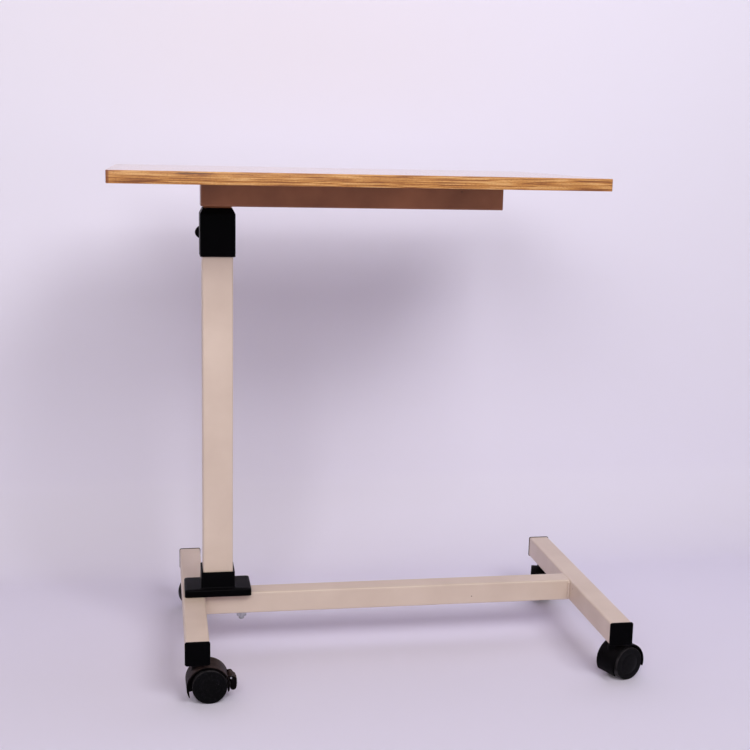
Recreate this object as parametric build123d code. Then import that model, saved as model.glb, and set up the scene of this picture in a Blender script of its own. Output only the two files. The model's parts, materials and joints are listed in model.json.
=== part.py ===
from build123d import *
import math
import os

# Overbed table on four hooded twin-wheel casters. Millimetres, +Z up, +X along the crossbar
# away from the column, +Y to the rear. The pieces are laid out from the outer face of the
# left foot, mid length of the feet and the floor, and the whole table is moved last, so
# that its origin lies on the floor below the middle of its bounding box.

# ---- table top ----
TOP_LENGTH = 600.0
TOP_WIDTH = 400.0
CORE_THICKNESS = 13.6
LAMINATE_THICKNESS = 0.7
TOP_CORNER_RADIUS = 3.0
BAND_THICKNESS = 1.0
TABLE_HEIGHT = 660.0
TOP_OVERHANG = 134.0

# ---- rail under the top: a folded hat channel with closed ends ----
RAIL_LENGTH = 400.0
RAIL_WIDTH = 48.0
RAIL_DEPTH = 33.0
RAIL_SHEET = 1.5
RAIL_FLANGE = 14.0
RAIL_BEND_RADIUS = 2.5
RAIL_SETBACK = 21.5
STIFFENER_THICKNESS = 3.0
STIFFENER_LENGTH = 90.0
RAIL_SCREWS_A_SIDE = 3
SCREW_DIAMETER = 4.0
SCREW_LENGTH = 12.0
SCREW_HEAD_DIAMETER = 8.0
SCREW_HEAD_HEIGHT = 2.4
SCREW_HEAD_FILLET = 1.44
SCREW_TIP_CHAMFER = 1.2
SCREW_END_MARGIN = 30.0

# ---- base frame ----
BASE_WIDTH = 580.0
FOOT_LENGTH = 370.0
TUBE_SIZE = 30.0
TUBE_WALL = 1.5
TUBE_RADIUS = 2.5
TUBE_CLEARANCE = 56.0
WELD_LEG = 3.0
CAP_PLATE = 2.0
CAP_LIP = 0.75
CAP_PLUG_DEPTH = 14.0
CAP_PLUG_WALL = 2.0
CAP_EDGE_RADIUS = 1.2

# ---- column ----
COLUMN_X = 48.0
COLUMN_SIZE = 40.0
COLUMN_WALL = 1.2
COLUMN_RADIUS = 2.5
MAST_SIZE = 35.0
MAST_WALL = 1.5
MAST_RADIUS = 2.0
MAST_FLOOR_GAP = 2.0
MAST_WELD_LEG = 1.5
GLIDE_BASE = 4.0
GLIDE_SKIRT = 25.0

# ---- foot of the column: steel plate, bolts and moulded cover ----
PLATE_LENGTH = 86.0
PLATE_WIDTH = 50.0
PLATE_THICKNESS = 4.0
PLATE_RADIUS = 3.0
BOLT_DIAMETER = 8.0
BOLT_LENGTH = 47.0
BOLT_HEAD_DIAMETER = 18.0
BOLT_HEAD_HEIGHT = 3.2
BOLT_HEAD_FILLET = 2.56
THREAD_CHAMFER = 0.8
WASHER_DIAMETER = 16.0
WASHER_THICKNESS = 1.6
NUT_ACROSS_FLATS = 13.0
NUT_HEIGHT = 6.5
NUT_CORNER_DIAMETER = 14.56
NUT_CHAMFER = 0.9
COVER_LENGTH = 90.0
COVER_WIDTH = 56.0
COVER_HEIGHT = 10.5
COVER_TOP_WALL = 2.2
COVER_SIDE_WALL = 1.7
COVER_RADIUS = 4.0
COVER_BEVEL = 1.5
COLLAR_WALL = 2.4
COLLAR_RISE = 22.5

# ---- head of the column: moulded cap, guide sleeve and lock ----
HEAD_SIZE = 46.0
HEAD_HEIGHT = 63.0
HEAD_RADIUS = 2.5
HEAD_SHOULDER_WIDTH = 4.0
HEAD_SHOULDER_HEIGHT = 7.5
HEAD_ROOF = 7.0
HEAD_TO_RAIL = 2.0
SLEEVE_LENGTH = 60.0
SLEEVE_RIM = 1.9
HEAD_MOUTH_CLEARANCE = 0.4
BOSS_DIAMETER = 22.0
BOSS_LENGTH = 11.0
BOSS_CHAMFER = 1.0
INSERT_DIAMETER = 15.0
INSERT_RECESS = 1.0
PAD_BACK_GAP = 1.6
PAD_DIAMETER = 12.0
PAD_THICKNESS = 3.0
PAD_CHAMFER = 0.4
PAD_HOLE_GAP = 0.6
PAD_SOCKET_DEPTH = 1.5
SCREW_TIP_DIAMETER = 5.0
LOCK_SCREW_DIAMETER = 8.0
LOCK_SCREW_PITCH = 1.25
LOCK_TURNS = 2.0
LOCK_SCREW_IN_KNOB = 10.5
KNOB_DIAMETER = 56.0
KNOB_LOBES = 5
KNOB_LOBE_RADIUS = 9.0
KNOB_VALLEY_RADIUS = 4.5
KNOB_CORE_RADIUS = 19.0
KNOB_THICKNESS = 15.0
KNOB_HUB_DIAMETER = 20.0
KNOB_HUB_HEIGHT = 3.0
KNOB_GAP = 2.0
KNOB_BUTTON_DIAMETER = 16.0
KNOB_BUTTON_HEIGHT = 1.5
KNOB_BUTTON_FILLET = 0.75
KNOB_FILLET = 2.5

# ---- casters ----
WHEEL_RADIUS = 22.0
WHEEL_WIDTH = 11.0
WHEEL_RIM = 3.0
WHEEL_DISC = 3.0
WHEEL_FACE_RADIUS = 13.2
WHEEL_FACE_STEP = 0.32
WHEEL_SHOULDER_WIDTH = 1.6
WHEEL_SHOULDER_DROP = 0.8
WHEEL_EDGE = 0.6
WHEEL_HUB_RADIUS = 6.0
WHEEL_END_WALL = 2.0
AXLE_DIAMETER = 5.0
CASTER_TRAIL = 15.0
CASTER_INSET = 25.5
WEB_THICKNESS = 11.0
WEB_HUB_RADIUS = 7.0
WEB_FRONT_ANGLE = 72.0
WEB_REAR_ANGLE = 203.0
WEB_HEEL_DROP = 2.0
HOOD_GAP = 2.9
HOOD_SETBACK = 1.9
HOOD_RISE = 0.5
HOOD_WALL = 2.2
HOOD_HALF_WIDTH = 17.0
HOOD_REAR_ANGLE = -16.0
HOOD_FRONT_ANGLE = 208.0
HOOD_FILLET = 0.8
SWIVEL_BOSS_DIAMETER = 14.0
SWIVEL_PIN_DIAMETER = 7.0
SWIVEL_SOCKET_DEPTH = 17.0
STEM_COLLAR_DIAMETER = 13.0
STEM_COLLAR_HEIGHT = 3.2
STEM_THREAD_DIAMETER = 8.0
STEM_THREAD_LENGTH = 11.0
STEM_NUT_HEIGHT = 6.5
PEDAL_PIVOT_ANGLE = 16.0
PEDAL_PIVOT_RISE = 2.9
PEDAL_WIDTH = 17.0
PEDAL_THICKNESS = 8.0
PEDAL_TIP_ANGLE = -9.0
PEDAL_SHOULDER_ANGLE = 8.5
PEDAL_BOSS_RADIUS = 2.8
PEDAL_PIN_DIAMETER = 2.5
PEDAL_GAP = 1.1
SHOE_WIDTH = 3.0
SHOE_GAP = 0.6
EAR_THICKNESS = 2.0
EAR_RADIUS = 3.2
EAR_FOOT_SPREAD = 9.0
EAR_TIP_SPREAD = 6.4
WINDOW_FRONT_MARGIN = 13.0
WINDOW_REAR_MARGIN = 6.5

# ---- clearances ----
MOVING_GAP = 0.3
RUNNING_FIT = 0.05
SLIDE_FIT = 0.1
SEAT_FIT = 0.02
HOLE_FIT = 0.25
CUT_OVERRUN = 1.0

# ---- places worked out from the sizes above ----
TOP_THICKNESS = CORE_THICKNESS + 2 * LAMINATE_THICKNESS
TOP_BOTTOM = TABLE_HEIGHT - TOP_THICKNESS
TOP_X = COLUMN_X - TOP_OVERHANG + TOP_LENGTH / 2
RAIL_BOTTOM = TOP_BOTTOM - RAIL_DEPTH
RAIL_X0 = COLUMN_X - RAIL_SETBACK
RAIL_FLANGE_Y = RAIL_WIDTH / 2 + RAIL_FLANGE / 2
TUBE_TOP = TUBE_CLEARANCE + TUBE_SIZE
TUBE_AXIS_Z = TUBE_CLEARANCE + TUBE_SIZE / 2
LEFT_FOOT_X = TUBE_SIZE / 2
RIGHT_FOOT_X = BASE_WIDTH - TUBE_SIZE / 2
FOOT_TUBE_LENGTH = FOOT_LENGTH - 2 * CAP_PLATE
PLATE_TOP = TUBE_TOP + PLATE_THICKNESS
COVER_TOP = TUBE_TOP + COVER_HEIGHT
BOLT_XS = (LEFT_FOOT_X, 2 * COLUMN_X - LEFT_FOOT_X)
COLUMN_BORE = COLUMN_SIZE - 2 * COLUMN_WALL
HEAD_TOP = RAIL_BOTTOM - HEAD_TO_RAIL
HEAD_BOTTOM = HEAD_TOP - HEAD_HEIGHT
COLUMN_TOP = HEAD_TOP - HEAD_ROOF - SLEEVE_RIM - SLIDE_FIT
GLIDE_BOTTOM = PLATE_TOP + MAST_FLOOR_GAP
MAST_BOTTOM = GLIDE_BOTTOM + GLIDE_BASE
LOCK_Z = HEAD_BOTTOM + HEAD_HEIGHT / 2
PAD_Y = MAST_SIZE / 2
SCREW_Y = PAD_Y + PAD_THICKNESS
BOSS_END_Y = HEAD_SIZE / 2 + BOSS_LENGTH
INSERT_START_Y = COLUMN_SIZE / 2 + INSERT_RECESS
KNOB_Y = BOSS_END_Y + KNOB_GAP
KNOB_FACE_Y = KNOB_Y + KNOB_THICKNESS
LOCK_TRAVEL = LOCK_SCREW_PITCH * LOCK_TURNS
HOOD_INNER = WHEEL_RADIUS + HOOD_GAP
HOOD_OUTER = HOOD_INNER + HOOD_WALL
HOOD_X = CASTER_TRAIL - HOOD_SETBACK
HOOD_Z = WHEEL_RADIUS + HOOD_RISE
PEDAL_PIVOT_RADIUS = HOOD_OUTER + PEDAL_PIVOT_RISE
WHEEL_INNER_FACE = WEB_THICKNESS / 2 + MOVING_GAP
HOUSING_TOP = TUBE_CLEARANCE - STEM_COLLAR_HEIGHT - MOVING_GAP
STEM_Y = FOOT_LENGTH / 2 - CASTER_INSET

# Each caster: name, foot, end of the foot, swivel angle of its trail at rest, pedal.
CASTERS = (
    ("front_left", LEFT_FOOT_X, -STEM_Y, 1.5, True),
    ("front_right", RIGHT_FOOT_X, -STEM_Y, 22.0, False),
    ("rear_left", LEFT_FOOT_X, STEM_Y, 17.0, True),
    ("rear_right", RIGHT_FOOT_X, STEM_Y, -108.0, False),
)


def block(size_x, size_y, z0, z1, radius=0.0):
    """Upright block between two heights, with its vertical edges rounded."""
    outline = RectangleRounded(size_x, size_y, radius) if radius else Rectangle(size_x, size_y)
    return Pos(0, 0, z0) * extrude(outline, z1 - z0)


def rod(diameter, z0, z1):
    """Upright cylinder between two heights."""
    return Pos(0, 0, z0) * extrude(Circle(diameter / 2), z1 - z0)


def box_tube(size, wall, radius, z0, z1):
    """Upright square tube between two heights."""
    bore = block(size - 2 * wall, size - 2 * wall, z0, z1, radius - wall)
    return block(size, size, z0, z1, radius) - bore


def along_y(shape):
    """Turns an upright shape so that up becomes +Y."""
    return Rot(-90, 0, 0) * shape


def at_column(shape):
    return Pos(COLUMN_X, 0, 0) * shape


def joined(shapes):
    """Separate solids kept as one node."""
    return Compound(children=[solid for shape in shapes for solid in shape.solids()])


# ---------------------------------------------------------------- base frame


def foot_tube(x):
    """Foot tube with the holes for its two caster stems."""
    tube = Pos(x, 0, TUBE_AXIS_Z) * along_y(
        box_tube(TUBE_SIZE, TUBE_WALL, TUBE_RADIUS, -FOOT_TUBE_LENGTH / 2, FOOT_TUBE_LENGTH / 2)
    )
    for y in (-STEM_Y, STEM_Y):
        hole = rod(STEM_THREAD_DIAMETER + 2 * HOLE_FIT, TUBE_CLEARANCE - CUT_OVERRUN, TUBE_AXIS_Z)
        tube -= Pos(x, y, 0) * hole
    return tube


def bolt_hole(x):
    diameter = BOLT_DIAMETER + 2 * HOLE_FIT
    hole = rod(diameter, TUBE_CLEARANCE - CUT_OVERRUN, PLATE_TOP + CUT_OVERRUN)
    return Pos(x, 0, 0) * hole


def left_foot_tube():
    return foot_tube(LEFT_FOOT_X) - bolt_hole(BOLT_XS[0])


def crossbar_tube():
    length = BASE_WIDTH - 2 * TUBE_SIZE
    tube = Rot(0, 90, 0) * box_tube(TUBE_SIZE, TUBE_WALL, TUBE_RADIUS, 0, length)
    return Pos(TUBE_SIZE, 0, TUBE_AXIS_Z) * tube - bolt_hole(BOLT_XS[1])


def crossbar_welds():
    """Fillet weld up each side of the crossbar at both feet."""
    leg_line = Polyline((0, 0), (WELD_LEG, 0), (0, WELD_LEG), close=True)
    bead = extrude(make_face(leg_line), TUBE_SIZE - 2 * TUBE_RADIUS)
    beads = []
    for x, turn in ((TUBE_SIZE, 0), (BASE_WIDTH - TUBE_SIZE, 90)):
        rear = Pos(x, TUBE_SIZE / 2, TUBE_CLEARANCE + TUBE_RADIUS) * Rot(0, 0, turn) * bead
        beads += [rear, rear.mirror(Plane.XZ)]
    return joined(beads)


def end_cap(x, side):
    """Moulded plug with a lip that covers the end of a foot tube; side is -1 or 1 along Y."""
    lip = TUBE_SIZE + 2 * CAP_LIP
    plate = block(lip, lip, 0, CAP_PLATE, TUBE_RADIUS + CAP_LIP / 2)
    plate = fillet(plate.edges().group_by(Axis.Z)[-1], CAP_EDGE_RADIUS)
    fit = TUBE_SIZE - 2 * TUBE_WALL - 2 * SLIDE_FIT
    plug = block(fit, fit, -CAP_PLUG_DEPTH, 0, TUBE_RADIUS - TUBE_WALL)
    hollow = fit - 2 * CAP_PLUG_WALL
    plug -= block(hollow, hollow, -CAP_PLUG_DEPTH, -CAP_PLUG_WALL)
    cap = plate + plug
    return Pos(x, side * FOOT_TUBE_LENGTH / 2, TUBE_AXIS_Z) * Rot(-90 * side, 0, 0) * cap


# ---------------------------------------------------------------- foot of the column


def column_foot_plate():
    plate = at_column(block(PLATE_LENGTH, PLATE_WIDTH, TUBE_TOP, PLATE_TOP, PLATE_RADIUS))
    for x in BOLT_XS:
        plate -= bolt_hole(x)
    return plate


def column_weld():
    """Fillet weld all round the foot of the column."""
    wide = COLUMN_SIZE + 2 * WELD_LEG
    narrow = COLUMN_SIZE + 2 * SEAT_FIT
    bottom = Plane.XY.offset(PLATE_TOP) * RectangleRounded(wide, wide, COLUMN_RADIUS + WELD_LEG)
    top = Plane.XY.offset(PLATE_TOP + WELD_LEG) * RectangleRounded(narrow, narrow, COLUMN_RADIUS)
    bead = loft([bottom, top])
    return at_column(bead - block(COLUMN_SIZE, COLUMN_SIZE, PLATE_TOP, COLUMN_TOP, COLUMN_RADIUS))


def column_bolts():
    """Cup-head bolts through the plate and the tubes."""
    bolts = []
    for x in BOLT_XS:
        shank = rod(BOLT_DIAMETER, PLATE_TOP - BOLT_LENGTH, PLATE_TOP)
        shank = chamfer(shank.edges().group_by(Axis.Z)[0], THREAD_CHAMFER)
        head = rod(BOLT_HEAD_DIAMETER, PLATE_TOP, PLATE_TOP + BOLT_HEAD_HEIGHT)
        head = fillet(head.edges().group_by(Axis.Z)[-1], BOLT_HEAD_FILLET)
        bolts.append(Pos(x, 0, 0) * (shank + head))
    return joined(bolts)


def column_washers():
    top = TUBE_CLEARANCE
    ring = rod(WASHER_DIAMETER, top - WASHER_THICKNESS, top)
    ring -= rod(BOLT_DIAMETER + 2 * HOLE_FIT, top - WASHER_THICKNESS, top)
    return joined([Pos(x, 0, 0) * ring for x in BOLT_XS])


def hex_nut(z0, height, bore):
    hexagon = RegularPolygon(NUT_ACROSS_FLATS / 2, 6, major_radius=False)
    nut = Pos(0, 0, z0) * extrude(hexagon, height)
    cone = rod(NUT_CORNER_DIAMETER, z0, z0 + height)
    cone = chamfer(cone.edges().filter_by(GeomType.CIRCLE), NUT_CHAMFER)
    return (nut & cone) - rod(bore, z0, z0 + height)


def column_nuts():
    top = TUBE_CLEARANCE - WASHER_THICKNESS
    nut = hex_nut(top - NUT_HEIGHT, NUT_HEIGHT, BOLT_DIAMETER + 2 * SEAT_FIT)
    return joined([Pos(x, 0, 0) * nut for x in BOLT_XS])


def socket_cover():
    """Moulded cover over the plate, with an open collar round the column."""
    flange = block(COVER_LENGTH, COVER_WIDTH, TUBE_TOP, COVER_TOP, COVER_RADIUS)
    flange = chamfer(flange.edges().group_by(Axis.Z)[-1], COVER_BEVEL)
    pocket = block(
        COVER_LENGTH - 2 * COVER_SIDE_WALL,
        COVER_WIDTH - 2 * COVER_SIDE_WALL,
        TUBE_TOP,
        COVER_TOP - COVER_TOP_WALL,
        COVER_RADIUS - COVER_SIDE_WALL,
    )
    bore = COLUMN_SIZE + 2 * MOVING_GAP
    outer = bore + 2 * COLLAR_WALL
    collar = block(outer, outer, COVER_TOP - COVER_TOP_WALL, COVER_TOP + COLLAR_RISE, COLUMN_RADIUS)
    cover = (flange - pocket) + collar
    cover -= block(bore, bore, TUBE_TOP, COVER_TOP + COLLAR_RISE, COLUMN_RADIUS)
    return at_column(cover)


# ---------------------------------------------------------------- column and its head


def lock_hole(diameter, y0, y1):
    """Round cut along Y on the lock's axis."""
    return Pos(0, 0, LOCK_Z) * along_y(rod(diameter, y0, y1))


def outer_column_tube():
    tube = box_tube(COLUMN_SIZE, COLUMN_WALL, COLUMN_RADIUS, PLATE_TOP, COLUMN_TOP)
    return at_column(tube - lock_hole(PAD_DIAMETER + 2 * PAD_HOLE_GAP, 0, COLUMN_SIZE))


def guide_sleeve():
    """Moulded liner that guides the mast in the top of the column; its rim sits on the tube."""
    bore = MAST_SIZE + 2 * SLIDE_FIT
    body = COLUMN_BORE - 2 * SLIDE_FIT
    sleeve = block(body, body, COLUMN_TOP - SLEEVE_LENGTH, COLUMN_TOP, COLUMN_RADIUS - COLUMN_WALL)
    sleeve += block(COLUMN_SIZE, COLUMN_SIZE, COLUMN_TOP, COLUMN_TOP + SLEEVE_RIM, COLUMN_RADIUS)
    low = COLUMN_TOP - SLEEVE_LENGTH
    sleeve -= block(bore, bore, low, COLUMN_TOP + SLEEVE_RIM, MAST_RADIUS)
    return at_column(sleeve - lock_hole(PAD_DIAMETER + 2 * MOVING_GAP, 0, COLUMN_SIZE))


def column_head():
    """Moulded cap over the column: sloped shoulders, mast opening and the lock's boss."""
    head = block(HEAD_SIZE, HEAD_SIZE, HEAD_BOTTOM, HEAD_TOP, HEAD_RADIUS)
    shoulder = HEAD_SIZE - 2 * HEAD_SHOULDER_WIDTH
    low = HEAD_TOP - HEAD_SHOULDER_HEIGHT
    base_line = Plane.XY.offset(low) * RectangleRounded(HEAD_SIZE, HEAD_SIZE, HEAD_RADIUS)
    top_line = Plane.XY.offset(HEAD_TOP) * RectangleRounded(shoulder, shoulder, HEAD_RADIUS)
    around = HEAD_SIZE + 2 * CUT_OVERRUN
    head -= block(around, around, low, HEAD_TOP + CUT_OVERRUN) - loft([base_line, top_line])
    head = fillet(head.edges().group_by(Axis.Z)[0], CAP_EDGE_RADIUS)
    boss = lock_hole(BOSS_DIAMETER, COLUMN_SIZE / 2 + MOVING_GAP, BOSS_END_Y)
    head += chamfer(boss.edges().group_by(Axis.Y)[-1], BOSS_CHAMFER)
    bore = COLUMN_SIZE + 2 * SLIDE_FIT
    head -= block(bore, bore, HEAD_BOTTOM, HEAD_TOP - HEAD_ROOF, COLUMN_RADIUS)
    mouth = MAST_SIZE + 2 * HEAD_MOUTH_CLEARANCE
    head -= block(mouth, mouth, HEAD_BOTTOM, HEAD_TOP, MAST_RADIUS)
    return at_column(head - lock_hole(INSERT_DIAMETER, 0, BOSS_END_Y))


def lock_insert():
    """Threaded steel bush pressed into the boss; its counterbore takes the pad."""
    insert = lock_hole(INSERT_DIAMETER - 2 * SEAT_FIT, INSERT_START_Y, BOSS_END_Y)
    recess_end = SCREW_Y + LOCK_TRAVEL + PAD_BACK_GAP
    insert -= lock_hole(PAD_DIAMETER + 2 * MOVING_GAP, INSERT_START_Y, recess_end)
    return at_column(insert - lock_hole(LOCK_SCREW_DIAMETER + 2 * RUNNING_FIT, recess_end, BOSS_END_Y))


def clamp_pad():
    pad = lock_hole(PAD_DIAMETER, PAD_Y, SCREW_Y)
    pad = chamfer(pad.edges().group_by(Axis.Y)[-1], PAD_CHAMFER)
    socket = SCREW_TIP_DIAMETER + 2 * RUNNING_FIT
    return at_column(pad - lock_hole(socket, SCREW_Y - PAD_SOCKET_DEPTH, SCREW_Y))


def lock_screw():
    """Stud of the knob, with a slim tip that turns in the pad."""
    stud = lock_hole(LOCK_SCREW_DIAMETER, SCREW_Y, KNOB_Y + LOCK_SCREW_IN_KNOB)
    tip = lock_hole(SCREW_TIP_DIAMETER, SCREW_Y - PAD_SOCKET_DEPTH + RUNNING_FIT, SCREW_Y)
    return at_column(stud + tip)


def lock_knob():
    """Star knob; one of its lobes points along -X at rest."""
    outline = Circle(KNOB_CORE_RADIUS)
    lobe_ring = KNOB_DIAMETER / 2 - KNOB_LOBE_RADIUS
    for i in range(KNOB_LOBES):
        turn = math.radians(180 + 360 / KNOB_LOBES * i)
        place = Pos(lobe_ring * math.cos(turn), lobe_ring * math.sin(turn))
        outline += place * Circle(KNOB_LOBE_RADIUS)
    hub_end = KNOB_Y + KNOB_HUB_HEIGHT
    outline = fillet(outline.vertices(), KNOB_VALLEY_RADIUS)
    star = Pos(0, 0, hub_end) * extrude(outline, KNOB_THICKNESS - KNOB_HUB_HEIGHT)
    star = fillet(star.edges().group_by(Axis.Z)[-1] + star.edges().group_by(Axis.Z)[0], KNOB_FILLET)
    star += rod(KNOB_HUB_DIAMETER, KNOB_Y, hub_end + KNOB_FILLET)
    knob = Pos(0, 0, LOCK_Z) * along_y(star)
    knob -= lock_hole(LOCK_SCREW_DIAMETER + 2 * SEAT_FIT, KNOB_Y, KNOB_Y + LOCK_SCREW_IN_KNOB)
    seat = KNOB_BUTTON_DIAMETER + 2 * SEAT_FIT
    return at_column(knob - lock_hole(seat, KNOB_FACE_Y - KNOB_BUTTON_HEIGHT, KNOB_FACE_Y))


def knob_button():
    """Disc that closes the knob's face."""
    disc = lock_hole(KNOB_BUTTON_DIAMETER, KNOB_FACE_Y - KNOB_BUTTON_HEIGHT, KNOB_FACE_Y)
    return at_column(fillet(disc.edges().group_by(Axis.Y)[-1], KNOB_BUTTON_FILLET))


# ---------------------------------------------------------------- mast, rail and top


def inner_tube():
    return at_column(box_tube(MAST_SIZE, MAST_WALL, MAST_RADIUS, MAST_BOTTOM, RAIL_BOTTOM))


def lower_glide():
    """Moulded shoe on the foot of the mast that runs in the column."""
    outside = COLUMN_BORE - 2 * SLIDE_FIT
    top = MAST_BOTTOM + GLIDE_SKIRT
    shoe = block(outside, outside, GLIDE_BOTTOM, top, COLUMN_RADIUS - COLUMN_WALL)
    skin = box_tube(MAST_SIZE + 2 * SEAT_FIT, MAST_WALL + 2 * SEAT_FIT, MAST_RADIUS, MAST_BOTTOM, top)
    return at_column(shoe - skin)


def mast_weld():
    """Small fillet weld between the mast and the rail's web."""
    wide = MAST_SIZE + 2 * MAST_WELD_LEG
    narrow = MAST_SIZE + 2 * SEAT_FIT
    low = RAIL_BOTTOM - MAST_WELD_LEG
    bottom = Plane.XY.offset(low) * RectangleRounded(narrow, narrow, MAST_RADIUS)
    top = Plane.XY.offset(RAIL_BOTTOM) * RectangleRounded(wide, wide, MAST_RADIUS + MAST_WELD_LEG)
    bead = loft([bottom, top])
    return at_column(bead - block(MAST_SIZE, MAST_SIZE, low, RAIL_BOTTOM, MAST_RADIUS))


def rail_screw_places():
    """The fixing points along both flanges of the rail."""
    span = RAIL_LENGTH - 2 * SCREW_END_MARGIN
    steps = max(RAIL_SCREWS_A_SIDE - 1, 1)
    xs = [RAIL_X0 + SCREW_END_MARGIN + span * i / steps for i in range(RAIL_SCREWS_A_SIDE)]
    return [(x, y) for x in xs for y in (-RAIL_FLANGE_Y, RAIL_FLANGE_Y)]


def support_rail():
    """Hat channel: web below, flanges against the top, a plate closing each end."""
    half = RAIL_WIDTH / 2
    reach = half + RAIL_FLANGE
    inner = half - RAIL_SHEET
    floor = RAIL_BOTTOM + RAIL_SHEET
    lid = TOP_BOTTOM - RAIL_SHEET
    section = Polyline(
        (-reach, TOP_BOTTOM),
        (-reach, lid),
        (-half, lid),
        (-half, RAIL_BOTTOM),
        (half, RAIL_BOTTOM),
        (half, lid),
        (reach, lid),
        (reach, TOP_BOTTOM),
        (inner, TOP_BOTTOM),
        (inner, floor),
        (-inner, floor),
        (-inner, TOP_BOTTOM),
        close=True,
    )
    rail = extrude(Plane.YZ.offset(RAIL_X0) * make_face(section), RAIL_LENGTH)
    folds = rail.edges().filter_by(Axis.X).group_by(Axis.Z)[0]
    rail = fillet(folds, RAIL_BEND_RADIUS)
    plate = block(RAIL_SHEET, 2 * inner, floor, TOP_BOTTOM)
    for x in (RAIL_X0 + RAIL_SHEET / 2, RAIL_X0 + RAIL_LENGTH - RAIL_SHEET / 2):
        rail += Pos(x, 0, 0) * plate
    for x, y in rail_screw_places():
        hole = rod(SCREW_DIAMETER + 2 * HOLE_FIT, lid - CUT_OVERRUN, TOP_BOTTOM + CUT_OVERRUN)
        rail -= Pos(x, y, 0) * hole
    return rail


def rail_stiffener():
    """Plate on the web above the mast."""
    width = RAIL_WIDTH - 2 * RAIL_SHEET - 2 * RAIL_BEND_RADIUS
    floor = RAIL_BOTTOM + RAIL_SHEET
    plate = block(STIFFENER_LENGTH, width, floor, floor + STIFFENER_THICKNESS)
    return Pos(RAIL_X0 + RAIL_SHEET + STIFFENER_LENGTH / 2 + SLIDE_FIT, 0, 0) * plate


def top_sheet(z0, z1):
    """Rounded rectangle of the top inside its edge band."""
    inset = 2 * BAND_THICKNESS
    radius = TOP_CORNER_RADIUS - BAND_THICKNESS
    return Pos(TOP_X, 0, 0) * block(TOP_LENGTH - inset, TOP_WIDTH - inset, z0, z1, radius)


def drilled(sheet):
    """Cuts the pilot holes of the fixing screws."""
    tip = TOP_BOTTOM - RAIL_SHEET + SCREW_LENGTH + SEAT_FIT
    for x, y in rail_screw_places():
        hole = rod(SCREW_DIAMETER + 2 * SEAT_FIT, TOP_BOTTOM - CUT_OVERRUN, tip)
        sheet -= Pos(x, y, 0) * hole
    return sheet


def tabletop_board():
    low = TOP_BOTTOM + LAMINATE_THICKNESS
    return drilled(top_sheet(low, low + CORE_THICKNESS))


def bottom_laminate():
    return drilled(top_sheet(TOP_BOTTOM, TOP_BOTTOM + LAMINATE_THICKNESS))


def top_laminate():
    return top_sheet(TABLE_HEIGHT - LAMINATE_THICKNESS, TABLE_HEIGHT)


def edge_band():
    outline = block(TOP_LENGTH, TOP_WIDTH, TOP_BOTTOM, TABLE_HEIGHT, TOP_CORNER_RADIUS)
    return Pos(TOP_X, 0, 0) * outline - top_sheet(TOP_BOTTOM, TABLE_HEIGHT)


def tabletop_screws():
    """Pan-head screws up through the rail's flanges into the board."""
    under = TOP_BOTTOM - RAIL_SHEET
    shank = rod(SCREW_DIAMETER, under, under + SCREW_LENGTH)
    shank = chamfer(shank.edges().group_by(Axis.Z)[-1], SCREW_TIP_CHAMFER)
    head = rod(SCREW_HEAD_DIAMETER, under - SCREW_HEAD_HEIGHT, under)
    head = fillet(head.edges().group_by(Axis.Z)[0], SCREW_HEAD_FILLET)
    return joined([Pos(x, y, 0) * (shank + head) for x, y in rail_screw_places()])


# ---------------------------------------------------------------- casters
# A caster is drawn with its swivel axis on Z, its trail along +X and its axle along Y.


def across(radius, half_width):
    """Cylinder on the axle's line."""
    disc = extrude(Circle(radius), half_width, both=True)
    return Pos(CASTER_TRAIL, 0, WHEEL_RADIUS) * Rot(90, 0, 0) * disc


def polar(radius, angle):
    """Point in the wheel's plane, from the hood's centre: forward along the trail, then up."""
    turn = math.radians(angle)
    return (radius * math.cos(turn), radius * math.sin(turn))


def side_profile(face, half_width):
    """Extrudes a face drawn in the wheel's plane about the hood's centre."""
    return Pos(HOOD_X, 0, HOOD_Z) * Rot(90, 0, 0) * extrude(face, half_width, both=True)


def arc_band(inner, outer, start, end):
    """Face between two radii and two angles."""
    middle = (start + end) / 2
    lines = [
        ThreePointArc(polar(outer, start), polar(outer, middle), polar(outer, end)),
        Line(polar(outer, end), polar(inner, end)),
        ThreePointArc(polar(inner, end), polar(inner, middle), polar(inner, start)),
        Line(polar(inner, start), polar(outer, start)),
    ]
    return make_face(Curve() + lines)


def housing_web():
    """Middle plate that carries the axle and the swivel socket."""
    reach = HOOD_INNER + HOOD_WALL / 2
    front = polar(reach, WEB_FRONT_ANGLE)
    rear = polar(reach, WEB_REAR_ANGLE)
    crown = polar(reach, (WEB_FRONT_ANGLE + WEB_REAR_ANGLE) / 2)
    toe = (HOOD_SETBACK + WHEEL_HUB_RADIUS, -HOOD_RISE)
    heel = (HOOD_SETBACK - WHEEL_HUB_RADIUS, -HOOD_RISE - WEB_HEEL_DROP)
    lines = [
        Line(toe, front),
        ThreePointArc(front, crown, rear),
        Line(rear, heel),
        Line(heel, toe),
    ]
    hub = Pos(HOOD_SETBACK, -HOOD_RISE) * Circle(WEB_HUB_RADIUS)
    return side_profile(hub + make_face(Curve() + lines), WEB_THICKNESS / 2)


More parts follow.
